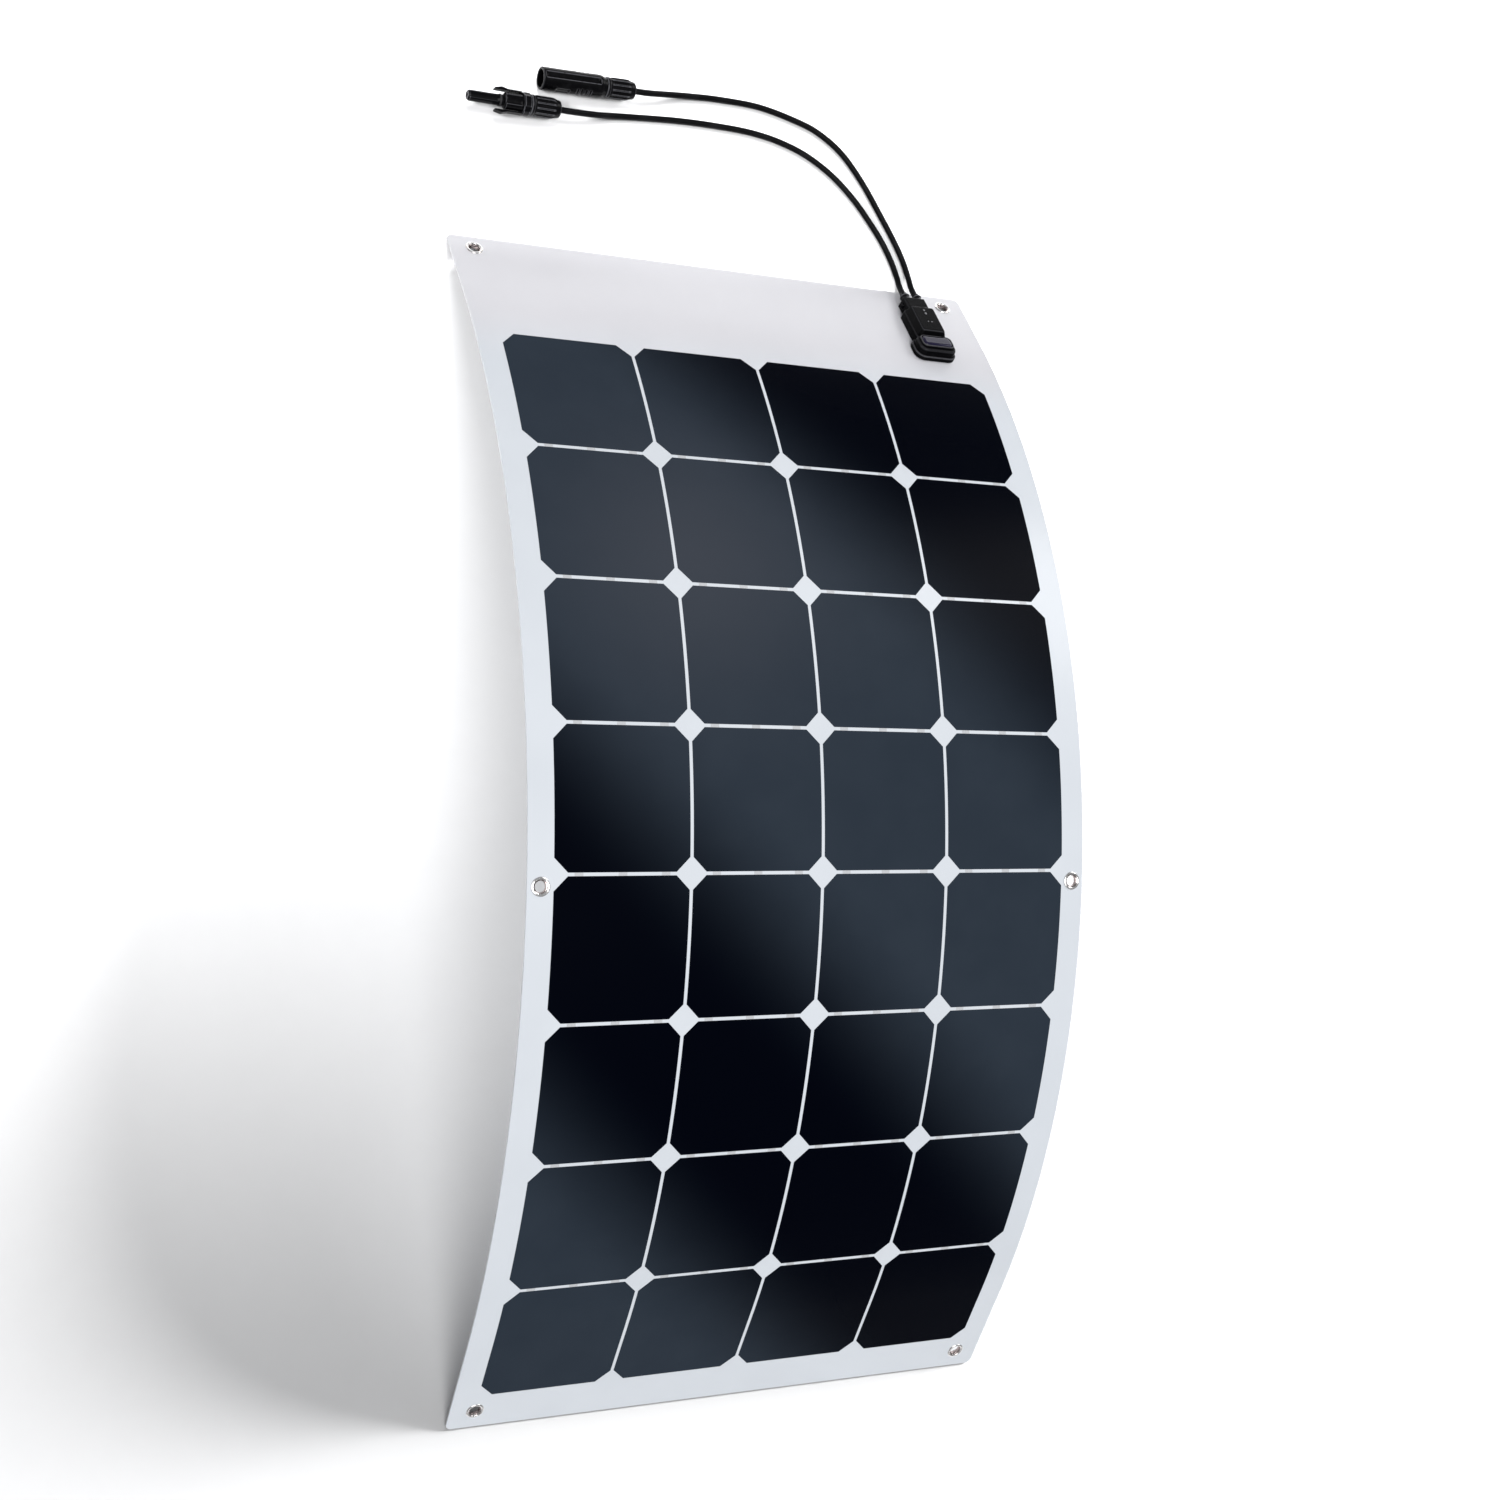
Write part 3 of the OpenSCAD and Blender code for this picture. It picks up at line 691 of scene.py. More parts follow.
def turned(place, profile, sides, change=None):
    """Point at angle a on ring k: centre + along_k * way + r * (cos a * across + sin a * up),
    where (r, along) is the profile and change(a, along, r) may move r. A profile whose first
    and last radius is 0 closes on the axis. One that ends where it starts makes a ring."""
    origin, across, up, way = place
    r, along = np.asarray(profile, float).T
    a = np.arange(sides) * 2 * np.pi / sides
    r, along, a = np.broadcast_arrays(r[:, None], along[:, None], a[None, :])
    if change is not None:
        r = np.where(r > 0, change(a, along, r), 0)
    points = (
        origin
        + along[..., None] * way
        + (r * np.cos(a))[..., None] * across
        + (r * np.sin(a))[..., None] * up
    )
    return points.reshape(-1, 3), ring_quads(len(points), sides)


def mark_edges(piece, sharp, weld):
    """Welds seams and poles if asked, points the faces outwards and smooths all edges but those
    that turn by more than `sharp` degrees."""
    work = bmesh.new()
    work.from_mesh(piece.data)
    if weld:
        bmesh.ops.remove_doubles(work, verts=work.verts, dist=2e-6)
        bmesh.ops.dissolve_degenerate(work, edges=work.edges, dist=1e-7)
    bmesh.ops.recalc_face_normals(work, faces=work.faces)
    limit = np.radians(sharp)
    for edge in work.edges:
        edge.smooth = len(edge.link_faces) == 2 and edge.calc_face_angle(0) < limit
    work.to_mesh(piece.data)
    work.free()
    add_wear_and_painted_highlight(piece)


def finish_piece(name, points, faces, finish, sharp=35):
    """A turned piece, welded along its seam and at its poles."""
    piece = make_piece(name, points, faces.tolist(), finish)
    mark_edges(piece, sharp, weld=True)
    return piece


def add_wear_and_painted_highlight(piece):
    """Stores how far each vertex stands out: the mean, over the edges that meet there, of the
    edge's direction towards the vertex times the vertex's normal. It is 0 on a flat face,
    positive on an outer edge and negative in a groove. The plastics' finish paints outer edges
    lighter by it, as wear and a painted highlight."""
    mesh = piece.data
    place, up = np.zeros((2, len(mesh.vertices), 3), np.float32)
    ends = np.zeros((len(mesh.edges), 2), np.int32)
    mesh.vertices.foreach_get("co", place.ravel())
    mesh.vertex_normals.foreach_get("vector", up.ravel())
    mesh.edges.foreach_get("vertices", ends.ravel())
    way = place[ends[:, 0]] - place[ends[:, 1]]
    way /= np.maximum(np.linalg.norm(way, axis=1, keepdims=True), 1e-9)
    proud, count = np.zeros((2, len(place)))
    for end, sign in ((0, 1), (1, -1)):
        np.add.at(proud, ends[:, end], sign * (way * up[ends[:, end]]).sum(1))
        np.add.at(count, ends[:, end], 1)
    # Stored for the plastics' lighter edges: wear and a painted highlight.
    add_value(piece, "wear_and_painted_highlight", proud / np.maximum(count, 1))


def arc(centre_r, centre_along, radius, start, stop, count):
    """Profile points on a circle's arc, from the start to the stop angle in degrees."""
    a = np.radians(np.linspace(start, stop, count))
    return np.stack([centre_r + radius * np.cos(a), centre_along + radius * np.sin(a)], -1)


# %% [markdown]
# ## Grommets
# A grommet is a nickel-plated eyelet. Its flange is a flat rolled ring, with a step down into
# the barrel, and the barrel goes through the sheet and holds a washer behind it. The barrel's
# wall is painted darker and browner than the ring, as painted shade in the hole, which a value
# stored by distance from the axis tells the finish.


# %% Grommet finish
def nickel(wire):
    scratch = noise(wire, 1500, 4).step(0.3, 0.8)
    tarnish = noise(wire, 260, 2).step(0.45, 0.75)
    # Painted shade in the hole: the barrel's wall is painted darker and browner than the ring.
    inside = wire.node("ShaderNodeAttribute", {"attribute_name": "inside"}, {}, output="Fac")
    ring = tarnish.blend((0.90, 0.89, 0.88, 1), (0.62, 0.58, 0.55, 1))
    return {
        "Base Color": inside.blend(ring, (0.38, 0.32, 0.31, 1)),
        "Roughness": scratch * 0.12 + 0.12,
        "Normal": bump(wire, scratch, 0.08, 0.0001),
    }


nickel_plate = make_finish("nickel_plate", {"Metallic": 1.0}, nickel)

# %% Grommets
eyelet = 5 * mm
flange = 8.5 * mm
barrel = 5.6 * mm
eyelet_profile = np.concatenate([
    arc(flange - 0.7 * mm, 0.35 * mm, 0.65 * mm, -90, 70, 7),
    arc(7.25 * mm, 0.5 * mm, 0.6 * mm, 65, 115, 4),
    arc(6.7 * mm, 0.5 * mm, 0.5 * mm, 100, 180, 5),
    [[6.15 * mm, 0.1 * mm], [5.8 * mm, -0.1 * mm]],
    arc(barrel - 0.2 * mm, -0.5 * mm, 0.4 * mm, 80, 180, 5),
    [[eyelet, -3.4 * mm]],
    arc(eyelet + 0.4 * mm, -3.4 * mm, 0.4 * mm, 180, 270, 4),
    [[6.5 * mm, -3.6 * mm], [6.5 * mm, -2.85 * mm], [barrel, -2.85 * mm], [barrel, -0.3 * mm]],
])
eyelet_profile = np.vstack([eyelet_profile, eyelet_profile[:1]])
for name, (x, d) in grommets.items():
    place = frame_at(on_sheet(x, d, 0.0), sheet_normal(x, d))
    points, faces = turned(place, eyelet_profile, 48)
    piece = finish_piece(f"grommet_{name}", points, faces, nickel_plate)
    across = np.array([v.co for v in piece.data.vertices]) - on_sheet(x, d, 0.0)
    across -= np.outer(across @ sheet_normal(x, d), sheet_normal(x, d))
    # Painted shade: 1 on the barrel's wall, 0 on the ring.
    add_value(piece, "inside", smooth(-6.3 * mm, -5.7 * mm, -np.linalg.norm(across, axis=1)))
    carry(piece, bend_at(d), ["eyelets_" + name.split("_")[0]])
print("grommets", len(grommets))

# %% [markdown]
# ## Black plastics
# The box and couplers are moulded in black plastic with a fine grain, a little coarser on the
# box. Edges that stand out are painted a touch lighter, in patches, as rubbed wear and a painted
# highlight. The window is polished.


# %% Plastic finishes
def moulded(scale, light, edge):
    """Grain of `scale` lumps to the metre, scuffs up to `light`, and edges of `edge`, painted
    lighter as wear and a painted highlight.
    """

    def varying(wire):
        grain = noise(wire, scale, 3)
        scuff = noise(wire, 150, 3).step(0.5, 0.8)
        face = scuff.blend((0.002, 0.002, 0.0025, 1), (light, light, light * 1.15, 1))
        proud = wire.node("ShaderNodeAttribute", {"attribute_name": "wear_and_painted_highlight"}, {}, output="Fac")
        # Outer edges painted lighter in patches: rubbed wear and a painted highlight.
        rubbed_and_painted_highlight = proud.step(0.04, 0.3) * noise(wire, 500, 2).step(0.1, 0.5)
        return {
            "Base Color": rubbed_and_painted_highlight.blend(face, (edge, edge, edge * 1.1, 1)),
            "Roughness": grain * 0.12 + 0.20,
            "Normal": bump(wire, grain, 0.14, 0.00012),
        }

    return varying


# The last number is the edge colour, painted lighter as wear and a painted highlight.
box_black = make_finish("box_black", {"Specular IOR Level": 0.02}, moulded(2400, 0.004, 0.07))
coupler_black = make_finish(
    "coupler_black", {"Specular IOR Level": 0.07}, moulded(3200, 0.006, 0.13)
)


def polished(wire):
    haze_and_painted_glow = noise(wire, 300, 2)
    return {
        "Base Color": haze_and_painted_glow.blend((0.006, 0.005, 0.018, 1), (0.012, 0.010, 0.034, 1)),
        "Roughness": haze_and_painted_glow * 0.05 + 0.05,
    }


window_black = make_finish(
    "window_black",
    {"Specular IOR Level": 0.12, "Coat Weight": 0.3, "Coat Roughness": 0.03},
    polished,
)

# %% [markdown]
# ## Junction box
# The box is a narrow neck with two glands, a longer body with sloping sides and a wide rounded
# foot. The foot has a raised rim round a glossy window. Each is a stack of rounded outlines: an
# outline is a rectangle with quarter-circle corners, and each level of the stack is inset a
# little from the one below.


# %% Stacks of outlines
edge_width = 0.6 * mm


def outline(width, length, radius, per_corner):
    """Points round a rectangle with quarter-circle corners, middle at the origin."""
    a = np.radians(np.linspace(0, 90, per_corner))
    parts = []
    for turn, (sx, sy) in enumerate(((1, 1), (-1, 1), (-1, -1), (1, -1))):
        angle = a + turn * np.pi / 2
        parts.append(np.stack([
            sx * (width / 2 - radius) + radius * np.cos(angle),
            sy * (length / 2 - radius) + radius * np.sin(angle),
        ], -1))
    return np.concatenate(parts)


def near_edges(levels):
    """Adds a level close to each end of every tall step, on the straight line between them."""
    parts = []
    for low, high in zip(levels[:-1], levels[1:]):
        tall = high[0] - low[0] > 2.5 * edge_width
        shares = [0, edge_width / (high[0] - low[0]), 1 - edge_width / (high[0] - low[0])]
        parts += [low + (high - low) * t for t in (shares if tall else [0])]
    return parts + [levels[-1]]


def stack(centre, levels, per_corner=7):
    """Closed solid from levels (height, width, length, corner radius, shift along d). The
    centre is (x, d) on the header, and heights are above the sheet there."""
    rings = []
    height, width, length, radius, shift = levels[-1]
    inset = min(1.2 * mm, radius * 0.8, width / 4, length / 4)
    cap = (height, width - 2 * inset, length - 2 * inset, radius - 0.9 * inset, shift)
    levels = [*levels, cap]
    for height, width, length, radius, shift in near_edges(np.array(levels)):
        flat = outline(width, length, radius, per_corner)
        rings.append(box_point(centre[0] + flat[:, 0], centre[1] + shift - flat[:, 1], height))
    points = np.concatenate(rings)
    sides = 4 * per_corner
    faces = ring_quads(len(rings), sides).tolist()
    faces.append(list(range(sides))[::-1])
    faces.append(list(range((len(rings) - 1) * sides, len(rings) * sides)))
    return points, faces


def box_point(x, d, height):
    """Point in the box's own straight frame, level with the header's straight end."""
    x, d, height = np.broadcast_arrays(x, d, height)
    y, z, angle = arch(box_in)
    along = d - box_in
    return np.stack([
        x,
        y - along * np.cos(angle) + height * np.sin(angle),
        z + along * np.sin(angle) + height * np.cos(angle),
    ], -1)


def bevelled(width, length, radius, low, high, bevel, slope=0.0):
    """Levels of a block from low to high: sides lean in by slope, and a rounded edge on top."""
    levels = [(low, width, length, radius, 0)]
    for t in np.linspace(0, 1, 5):
        a = t * np.pi / 2
        inset = slope + bevel * (1 - np.cos(a))
        height = high - bevel + bevel * np.sin(a)
        corner = max(radius - inset, 0.2 * mm)
        levels.append((height, width - 2 * inset, length - 2 * inset, corner, 0))
    return levels


# %% Box pieces
neck_length, body_length, foot_length = 17 * mm, 41 * mm, 28 * mm
neck_width, body_width, foot_width = 26 * mm, 35 * mm, 46 * mm
neck_height = 13 * mm
neck_d = box_in + neck_length / 2 + 1 * mm
body_d = box_in + neck_length + body_length / 2 + 2 * mm
foot_d = box_in + neck_length + body_length + foot_length / 2


def box_piece(name, centre_d, levels, finish, stands_for):
    """A stack on the box's middle line, centred at centre_d, that rides on the header."""
    points, faces = stack((box_x, centre_d), levels)
    piece = make_piece(name, points, faces, finish)
    mark_edges(piece, 40, weld=False)
    on_header(piece, stands_for)


shell = ("box_base", "box_lid")
box_piece(
    "box_skirt", foot_d,
    [(0.2 * mm, foot_width, foot_length, 10 * mm, 0),
     (4.2 * mm, foot_width, foot_length, 10 * mm, 0),
     (5.0 * mm, foot_width - 1.6 * mm, foot_length - 1.6 * mm, 9.2 * mm, 0)],
    box_black, shell,
)
box_piece(
    "box_foot", foot_d,
    bevelled(
        foot_width - 3.6 * mm, foot_length - 3.6 * mm, 8.2 * mm, 4.6 * mm, 12 * mm, 2.4 * mm,
        slope=0.6 * mm,
    ),
    box_black, shell,
)
box_piece(
    "box_neck", neck_d,
    bevelled(neck_width, neck_length + 2 * mm, 2 * mm, 0.2 * mm, neck_height, 2 * mm, 0.5 * mm),
    box_black, shell,
)
box_piece(
    "box_lugs", neck_d - 2 * mm,
    bevelled(neck_width + 2.4 * mm, 4 * mm, 1 * mm, 3 * mm, 8 * mm, 0.6 * mm),
    box_black, shell,
)
box_piece(
    "box_body", body_d,
    bevelled(body_width, body_length + 4 * mm, 5 * mm, 0.2 * mm, 9 * mm, 0.8 * mm, 0.2 * mm),
    box_black, shell,
)
box_piece(
    "box_ridge", body_d,
    [(8.8 * mm, body_width - 2 * mm, body_length + 2 * mm, 3 * mm, 0),
     (15.8 * mm, body_width - 8.5 * mm, body_length - 3 * mm, 2.4 * mm, 0),
     (16.7 * mm, body_width - 9.6 * mm, body_length - 4 * mm, 2 * mm, 0),
     (17.0 * mm, body_width - 11 * mm, body_length - 5.4 * mm, 1.4 * mm, 0)],
    box_black, shell,
)
rim_width, rim_length = foot_width - 9 * mm, 17.5 * mm
window_d = foot_d - 1.2 * mm
rim_levels = [
    (11.0 * mm, rim_width, rim_length, 6 * mm, 0),
    (13.3 * mm, rim_width - 0.6 * mm, rim_length - 0.6 * mm, 5.7 * mm, 0),
    (14.0 * mm, rim_width - 1.8 * mm, rim_length - 1.8 * mm, 5.1 * mm, 0),
    (13.9 * mm, rim_width - 3.0 * mm, rim_length - 3.0 * mm, 4.5 * mm, 0),
    (12.6 * mm, rim_width - 4.0 * mm, rim_length - 4.0 * mm, 4.0 * mm, 0),
]
box_piece("box_rim", window_d, rim_levels, box_black, shell)
box_piece(
    "box_window_face", window_d,
    bevelled(rim_width - 4.4 * mm, rim_length - 4.4 * mm, 3.8 * mm, 12.2 * mm, 14.4 * mm, 1.8 * mm),
    window_black, ("box_window",),
)
print("box is", round((neck_length + body_length + foot_length) * 1000), "mm long")

# %% [markdown]
# The lid's face has two small round pips and two smaller ones near the foot. They are low domes,
# turned on the box's own upright axis.

# %% Pips on the lid
def polished_grey(wire):
    cloud = noise(wire, 900, 2)  # lumps of about a millimetre
    return {
        "Base Color": cloud.blend((0.10, 0.10, 0.11, 1), (0.16, 0.16, 0.17, 1)),
        "Roughness": cloud * 0.1 + 0.15,
    }


pip_grey = make_finish("pip_grey", {"Specular IOR Level": 0.5}, polished_grey)
header_up = sheet_normal(0.0, 0.0)
pips = []
for x, d, radius in (
    (0, 48.5 * mm, 1.2 * mm), (0, 53.5 * mm, 1.4 * mm),
    (-1.5 * mm, 66 * mm, 0.8 * mm), (2.5 * mm, 66 * mm, 0.8 * mm),
):
    place = frame_at(box_point(box_x + x, d, 16.7 * mm), header_up)
    pips.append(turned(place, np.vstack([
        [[0, 0], [radius, 0]], arc(0, 0.2 * mm, radius, 5, 60, 4) * [1, 0.5] + [0, 0.3 * mm],
        [[0, 0.3 * mm + 0.55 * radius]],
    ]), 16))
points = np.concatenate([p for p, _ in pips])
faces = np.concatenate([f + k * len(pips[0][0]) for k, (_, f) in enumerate(pips)])
on_header(finish_piece("box_pips", points, faces, pip_grey), ["box_lid"])

# %% [markdown]
# ## Glands
# Each cable leaves the neck through a short ribbed collar.

# %% Gland collars
gland_radius = 4.3 * mm
down_slope = along_exit(0, 1.0) - along_exit(0, 0.0)
for name, x in (("plus", plus_x), ("minus", minus_x)):
    place = frame_at(along_exit(x, -6 * mm), down_slope)
    profile = np.vstack([
        [[3.05 * mm, 0], [gland_radius, 0], [gland_radius, 5.6 * mm]],
        arc(gland_radius + 0.2 * mm, 6.2 * mm, 0.6 * mm, -90, 90, 5),
        [[gland_radius - 0.3 * mm, 7.2 * mm], [gland_radius - 0.4 * mm, 9.4 * mm]],
        arc(gland_radius - 1.0 * mm, 9.4 * mm, 0.6 * mm, 0, 90, 4),
        [[3.05 * mm, 10.0 * mm], [3.05 * mm, 0]],
    ])
    points, faces = turned(place, profile, 32)
    on_header(finish_piece(f"gland_{name}", points, faces, coupler_black), ["cable_glands"])
print("glands done")

# %% [markdown]
# ## Couplers
# Each cable ends in a coupler. One is an open shell that holds the contact pin, with a groove
# along its top, latch windows in its sides and ribs for grip. The other has a collar, a slim
# probe and springy latches. Both have a ridged cap nut that squeezes a seal onto the cable.


# %% Radius changes
def bump_along(value, low, high, soft):
    """1 between low and high and 0 outside, with soft edges."""
    return smooth(low - soft, low + soft, value) * (1 - smooth(high - soft, high + soft, value))


def near_angle(a, centre, half):
    """1 within half of the centre angle, in degrees, and 0 outside, with soft edges."""
    off = np.abs((np.degrees(a) - centre + 180) % 360 - 180)
    return 1 - smooth(half * 0.8, half * 1.2, off)


nut_length = 30 * mm
nut_radius = 9.5 * mm
nut_ribs = 12


def nut_change(a, along, r):
    """Ribs along the nut: the radius rises where the cosine of the rib angle is high."""
    rib = smooth(0.1, 0.8, np.cos(nut_ribs * a))
    return r + 0.9 * mm * (rib - 0.5) * bump_along(along, 6 * mm, 25 * mm, 1.5 * mm) * (r > 7 * mm)


def turned_piece(name, place, profile, sides, change, finish, stands_for):
    points, faces = turned(place, profile, sides, change)
    piece = finish_piece(name, points, faces, finish, sharp=50)
    on_header(piece, stands_for)
    return piece


def along_lines(profile, step):
    """Adds points between a profile's corners, no further apart than step."""
    profile = np.asarray(profile, float)
    parts = []
    for p, q in zip(profile[:-1], profile[1:]):
        count = max(int(np.ceil(np.linalg.norm(q - p) / step)), 1)
        parts.append(p + (q - p) * (np.arange(count) / count)[:, None])
    return np.vstack(parts + [profile[-1:]])


nut_profile = along_lines(np.vstack([
    [[3.2 * mm, 0.4 * mm], [6.2 * mm, 0]],
    arc(6.6 * mm, 1.6 * mm, 1.6 * mm, -90, -20, 4),
    [[8.9 * mm, 5 * mm], [nut_radius, 8 * mm], [nut_radius, 25 * mm]],
    [[nut_radius - 0.3 * mm, 26 * mm], [nut_radius + 0.2 * mm, 27 * mm]],
    [[nut_radius + 0.2 * mm, 29.4 * mm], [nut_radius - 0.3 * mm, nut_length]],
    [[7.5 * mm, nut_length]],
    [[3.2 * mm, nut_length - 1 * mm], [3.2 * mm, 0.4 * mm]],
]), 1.2 * mm)

# %% Coupler with the open shell
shell_start = 28 * mm
shell_length = 68 * mm
shell_end = shell_start + shell_length
shell_radius = 10.8 * mm
mouth_radius = 8.4 * mm
mouth_start = shell_end - 44 * mm
plus_place = frame_at(plus_end, plus_way)
minus_place = frame_at(minus_end, minus_way)
up_angle = 97


def shell_change(a, along, r):
    """The outside has a groove along the top, a sunk window on each side, and grip ribs behind
    the windows. The inside stays round."""
    outside = r > 9.2 * mm
    groove = near_angle(a, up_angle, 13) * bump_along(along, 38 * mm, shell_end - 3 * mm, 1 * mm)
    sides = near_angle(a, 0, 24) + near_angle(a, 180, 24)
    window = sides * bump_along(along, mouth_start + 16 * mm, mouth_start + 29 * mm, 0.7 * mm)
    grip = np.clip(near_angle(a, 0, 40) + near_angle(a, 180, 40), 0, 1)
    ribs = smooth(0.0, 0.6, np.sin(2 * np.pi * along / (4.2 * mm)))
    ribs = ribs * grip * bump_along(along, 44 * mm, 62 * mm, 0.8 * mm)
    return r - outside * (1.9 * mm * groove + 1.5 * mm * window + 0.8 * mm * ribs)


shell_profile = along_lines(np.vstack([
    [[0, nut_length - 1 * mm], [8.6 * mm, nut_length - 1 * mm], [9.0 * mm, nut_length + 0.6 * mm]],
    [[9.3 * mm, nut_length + 2 * mm], [10.4 * mm, nut_length + 5 * mm]],
    [[shell_radius, nut_length + 8 * mm], [shell_radius, shell_end - 3 * mm]],
    arc(shell_radius - 0.9 * mm, shell_end - 1 * mm, 1 * mm, 0, 90, 5),
    arc(mouth_radius + 0.5 * mm, shell_end - 0.5 * mm, 0.5 * mm, 90, 180, 4),
    [[mouth_radius, mouth_start + 6 * mm], [mouth_radius - 0.4 * mm, mouth_start]],
    [[3.0 * mm, mouth_start - 0.5 * mm], [0, mouth_start - 0.5 * mm]],
]), 0.8 * mm)
shell_piece = turned_piece(
    "coupler_shell", plus_place, shell_profile, 72, shell_change, coupler_black,
    ["pin_coupler"],
)
nut_plus = turned_piece(
    "coupler_nut_plus", plus_place, nut_profile, 96, nut_change, coupler_black,
    ["coupler_nuts"],
)

# %% Coupler with the probe
collar_radius = 10.6 * mm
collar_length = 8 * mm
block_length = 18 * mm
probe_length = 36 * mm
probe_radius = 5.2 * mm
block_start = nut_length + collar_length
probe_start = block_start + block_length
probe_end = probe_start + probe_length


def probe_change(a, along, r):
    """Flats on the block's top and bottom, four notches in the collar, and shallow flats on the
    probe, which makes it a little wider than it is high."""
    flats = near_angle(a, 90, 30) + near_angle(a, 270, 30)
    block = bump_along(along, block_start + 1 * mm, probe_start - 1 * mm, 0.6 * mm)
    collar = bump_along(along, nut_length + 1 * mm, block_start - 1 * mm, 0.6 * mm)
    probe = bump_along(along, probe_start + 6 * mm, probe_end + 5 * mm, 0.8 * mm) * (r > 4.5 * mm)
    notch = smooth(0.3, 0.9, np.cos(4 * a + np.pi))
    return r - 1.0 * mm * flats * block - 0.9 * mm * notch * collar - 0.5 * mm * flats * probe


probe_profile = along_lines(np.vstack([
    [[0, nut_length - 1 * mm], [8.6 * mm, nut_length - 1 * mm], [9.4 * mm, nut_length + 0.4 * mm]],
    [[collar_radius, nut_length + 1.4 * mm], [collar_radius, block_start - 1 * mm]],
    [[collar_radius - 0.9 * mm, block_start], [8.0 * mm, block_start + 0.3 * mm]],
    [[8.0 * mm, probe_start - 4 * mm], [7.9 * mm, probe_start - 1.2 * mm]],
    [[6.8 * mm, probe_start], [probe_radius, probe_start + 0.8 * mm]],
    [[probe_radius, probe_end - 2 * mm], [3.9 * mm, probe_end]],
    [[2.3 * mm, probe_end], [2.3 * mm, probe_end - 9 * mm], [0, probe_end - 9 * mm]],
]), 0.8 * mm)
probe_piece = turned_piece(
    "coupler_probe", minus_place, probe_profile, 72, probe_change, coupler_black,
    ["socket_coupler"],
)
nut_minus = turned_piece(
    "coupler_nut_minus", minus_place, nut_profile, 96, nut_change, coupler_black,
    ["coupler_nuts"],
)
print("couplers", round(shell_end * 1000), "and", round(probe_end * 1000), "mm long")

# %% [markdown]
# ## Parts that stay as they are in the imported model
# The latches, contacts, ring, pad, seals and corner washers already have the right shape, and so
# have the parts inside the box, so they only get their finishes.


# %% Finishes of the small parts
def plated(wire):
    haze_and_painted_glow = noise(wire, 900, 3)
    return {
        "Base Color": haze_and_painted_glow.blend((0.60, 0.52, 0.33, 1), (0.75, 0.68, 0.48, 1)),
        "Roughness": haze_and_painted_glow * 0.15 + 0.2,
    }


def rubbery(wire):
    grain = noise(wire, 1800, 3)
    return {
        "Base Color": grain.blend((0.012, 0.012, 0.013, 1), (0.03, 0.03, 0.031, 1)),
        "Roughness": grain * 0.2 + 0.55,
        "Normal": bump(wire, grain, 0.2, 0.0002),
    }


plated_brass = make_finish("plated_brass", {"Metallic": 1.0}, plated)
soft_black = make_finish("soft_black", {"Specular IOR Level": 0.3}, rubbery)
small_parts = {
    coupler_black: ["latch_left", "latch_right"],
    plated_brass: ["pin_contact", "socket_contact", "box_terminals"],
    soft_black: ["face_ring", "box_pad", "cord_seals", "bypass_diodes"],
    nickel_plate: ["washers_top", "washers_bottom"],
}
for finish, nodes in small_parts.items():
    for node in nodes:
        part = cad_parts[node]
        part.data.materials.clear()
        part.data.materials.append(finish)
print("finished", sum(len(nodes) for nodes in small_parts.values()), "carried-over parts")

# %% [markdown]
# The middle washers sit on the bend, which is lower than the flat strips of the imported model,
# so they are turned again on the smooth sheet.

# %% Middle washers
washer_profile = np.array([
    [barrel + 0.1 * mm, -thickness], [flange, -thickness], [flange, -2.6 * mm],
    [flange - 0.2 * mm, -2.8 * mm], [barrel + 0.1 * mm, -2.8 * mm], [barrel + 0.1 * mm, -thickness],
])
for name, (x, d) in grommets.items():
    if name.startswith("middle"):
        place = frame_at(on_sheet(x, d, 0.0), sheet_normal(x, d))
        points, faces = turned(place, washer_profile, 48)
        piece = finish_piece(f"washer_{name}", points, faces, nickel_plate)
        carry(piece, bend_at(d), ["washers_middle"])

# %% [markdown]

# %% [markdown]
# ## Floor and light
# The floor is a plain pale plane. One wide soft lamp stands overhead, where the arch hides its
# own shadow, and a weaker one at the side models the small parts. Three more lamps reach the
# floor alone, which light linking does: a low one draws the long soft shadow at the foot's left,
# and two spots take it away beside the sheet and under the cables. A pale surrounding fills the
# rest. The camera sees it as plain white, so that it meets the floor without a line.

# %% Floor
floor_mesh = bpy.data.meshes.new("floor")
floor_mesh.from_pydata([(-12, -12, 0), (12, -12, 0), (12, 12, 0), (-12, 12, 0)], [], [(0, 1, 2, 3)])


def paper(wire):
    fibre = noise(wire, 40, 3)
    return {"Base Color": fibre.blend((0.295, 0.295, 0.298, 1), (0.305, 0.305, 0.308, 1))}


floor_mesh.materials.append(make_finish("paper_white", {"Roughness": 0.9}, paper))
floor = bpy.data.objects.new("floor", floor_mesh)
bpy.context.scene.collection.objects.link(floor)


# %% Lights
on_floor = bpy.data.collections.new("on_floor")
on_floor.objects.link(floor)


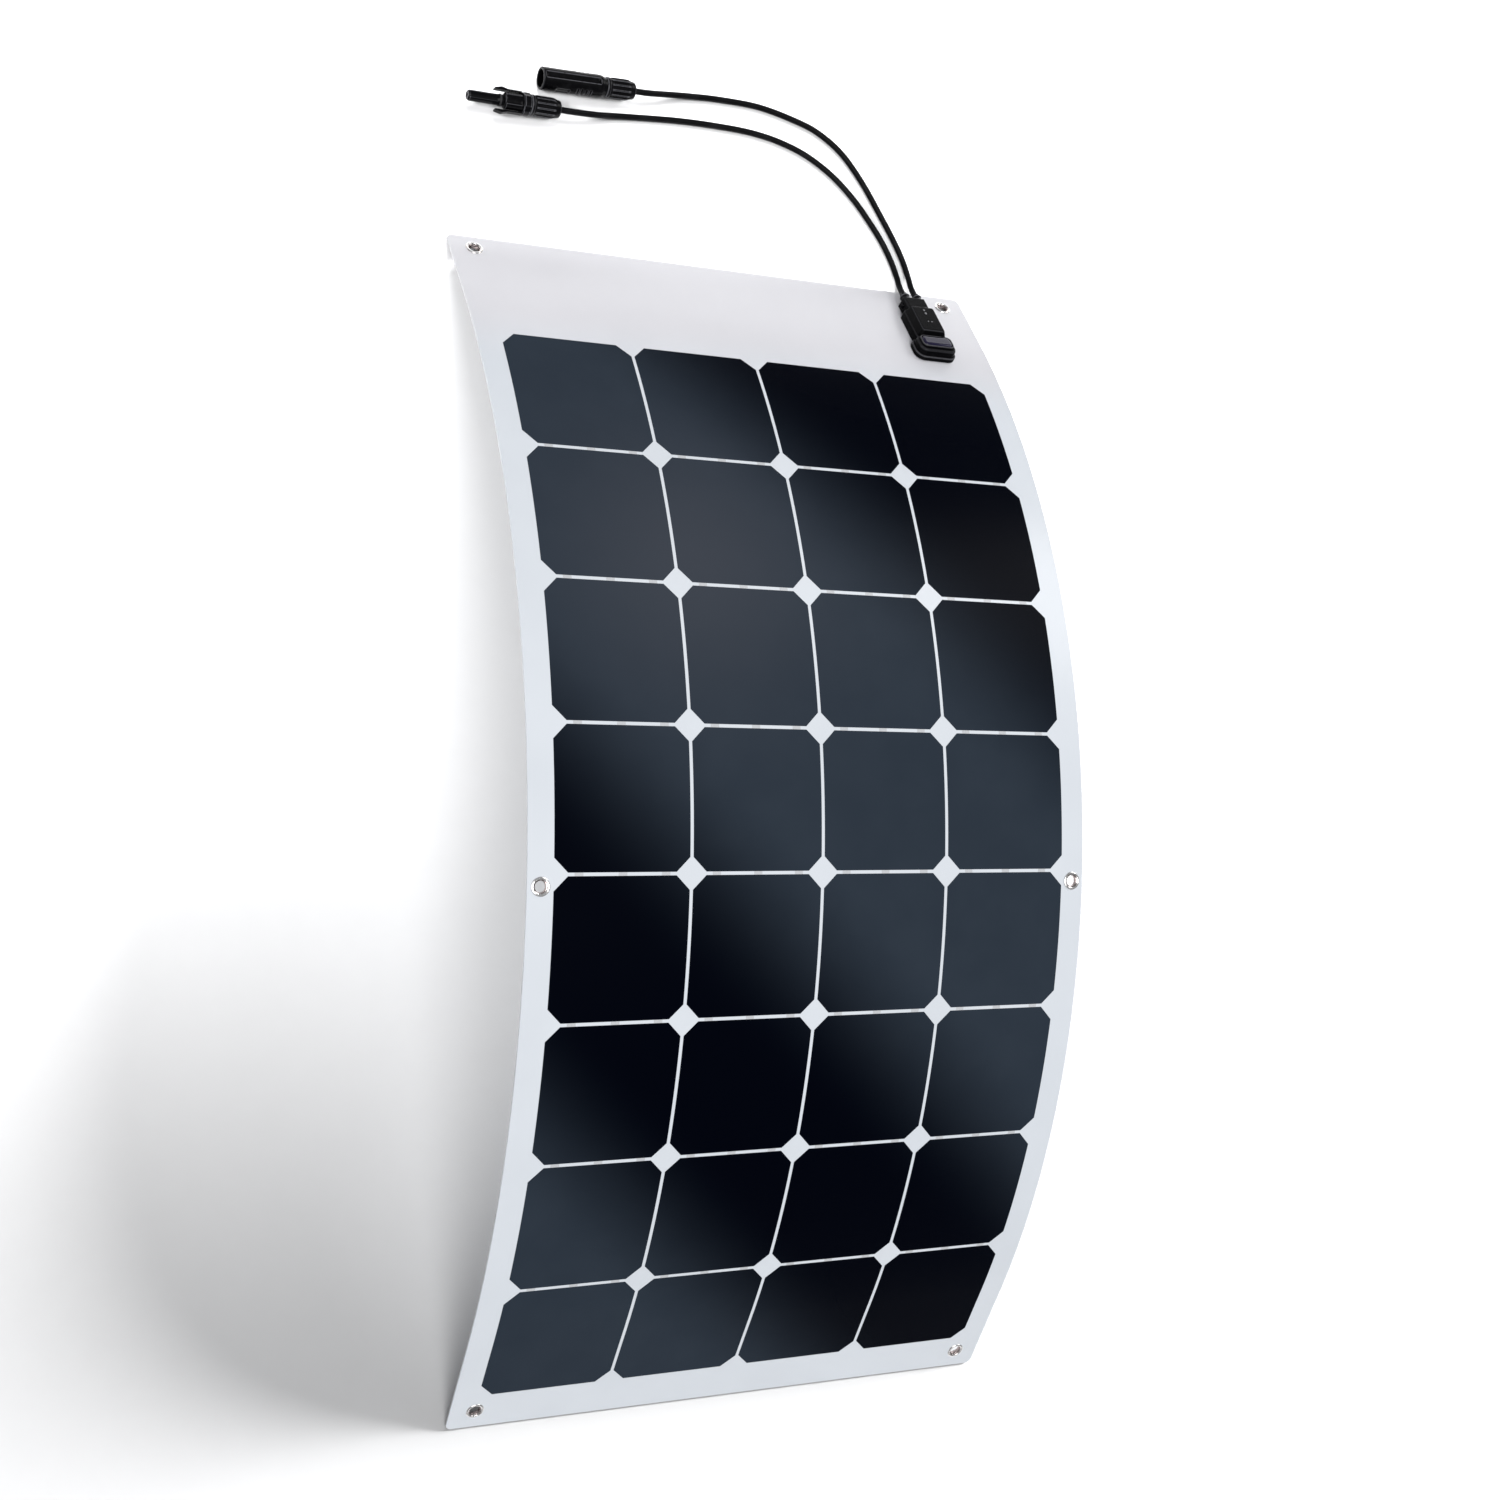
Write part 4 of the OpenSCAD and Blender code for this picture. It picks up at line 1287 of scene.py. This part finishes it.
def place_lamp(name, kind, towards, settings, where=(0, 0, 0), only=None):
    """A lamp at where that shines against the direction towards. Where a collection is given,
    only the objects in it receive the light."""
    lamp = bpy.data.lights.new(name, kind)
    for setting, value in settings.items():
        setattr(lamp, setting, value)
    holder = bpy.data.objects.new(name, lamp)
    bpy.context.scene.collection.objects.link(holder)
    holder.location = where
    holder.rotation_euler = (-Vector(towards)).to_track_quat("-Z", "Y").to_euler()
    if only:
        holder.light_linking.receiver_collection = only


place_lamp("overhead", "SUN", (-0.1, -0.2, 1.0), {"energy": 2.6, "angle": 0.6})
place_lamp("side", "SUN", (0.62, 0.42, 0.5), {"energy": 1.0, "angle": 0.45})
place_lamp(
    "across_floor", "SUN", (1.96, 1.35, 1.0), {"energy": 17.8, "angle": 0.3}, only=on_floor
)
place_lamp(
    "floor_fill", "SPOT", (-1.4, 0.0, 1.3),
    {"energy": 520, "spot_size": np.radians(44), "spot_blend": 0.45, "shadow_soft_size": 0.3},
    where=(-1.9, 0.45, 1.3), only=on_floor,
)
place_lamp(
    "cable_fill", "SPOT", (-0.3, 1.0, 1.4),
    {"energy": 420, "spot_size": np.radians(44), "spot_blend": 0.6, "shadow_soft_size": 0.6},
    where=(-0.3, 1.65, 1.4), only=on_floor,
)


def plain_light(tree, name, colour, strength):
    """A background shader of one colour; the one that a new world has is used again."""
    shade = tree.nodes.get(name) or tree.nodes.new("ShaderNodeBackground")
    shade.inputs["Color"].default_value = (*colour, 1)
    shade.inputs["Strength"].default_value = strength
    return shade.outputs[0]


world = bpy.data.worlds.new("surrounding")
world.use_nodes = True
tree = world.node_tree
choice = tree.nodes.new("ShaderNodeMixShader")
to_camera = tree.nodes.new("ShaderNodeLightPath").outputs["Is Camera Ray"]
tree.links.new(to_camera, choice.inputs["Fac"])
tree.links.new(plain_light(tree, "Background", (0.95, 0.97, 1.0), 0.3), choice.inputs[1])
tree.links.new(plain_light(tree, "backdrop", (1, 1, 1), 1.0), choice.inputs[2])
tree.links.new(choice.outputs[0], tree.nodes["World Output"].inputs[0])
bpy.context.scene.world = world
bpy.context.scene.view_settings.view_transform = "Standard"

# %% The end
bpy.context.view_layer.update()
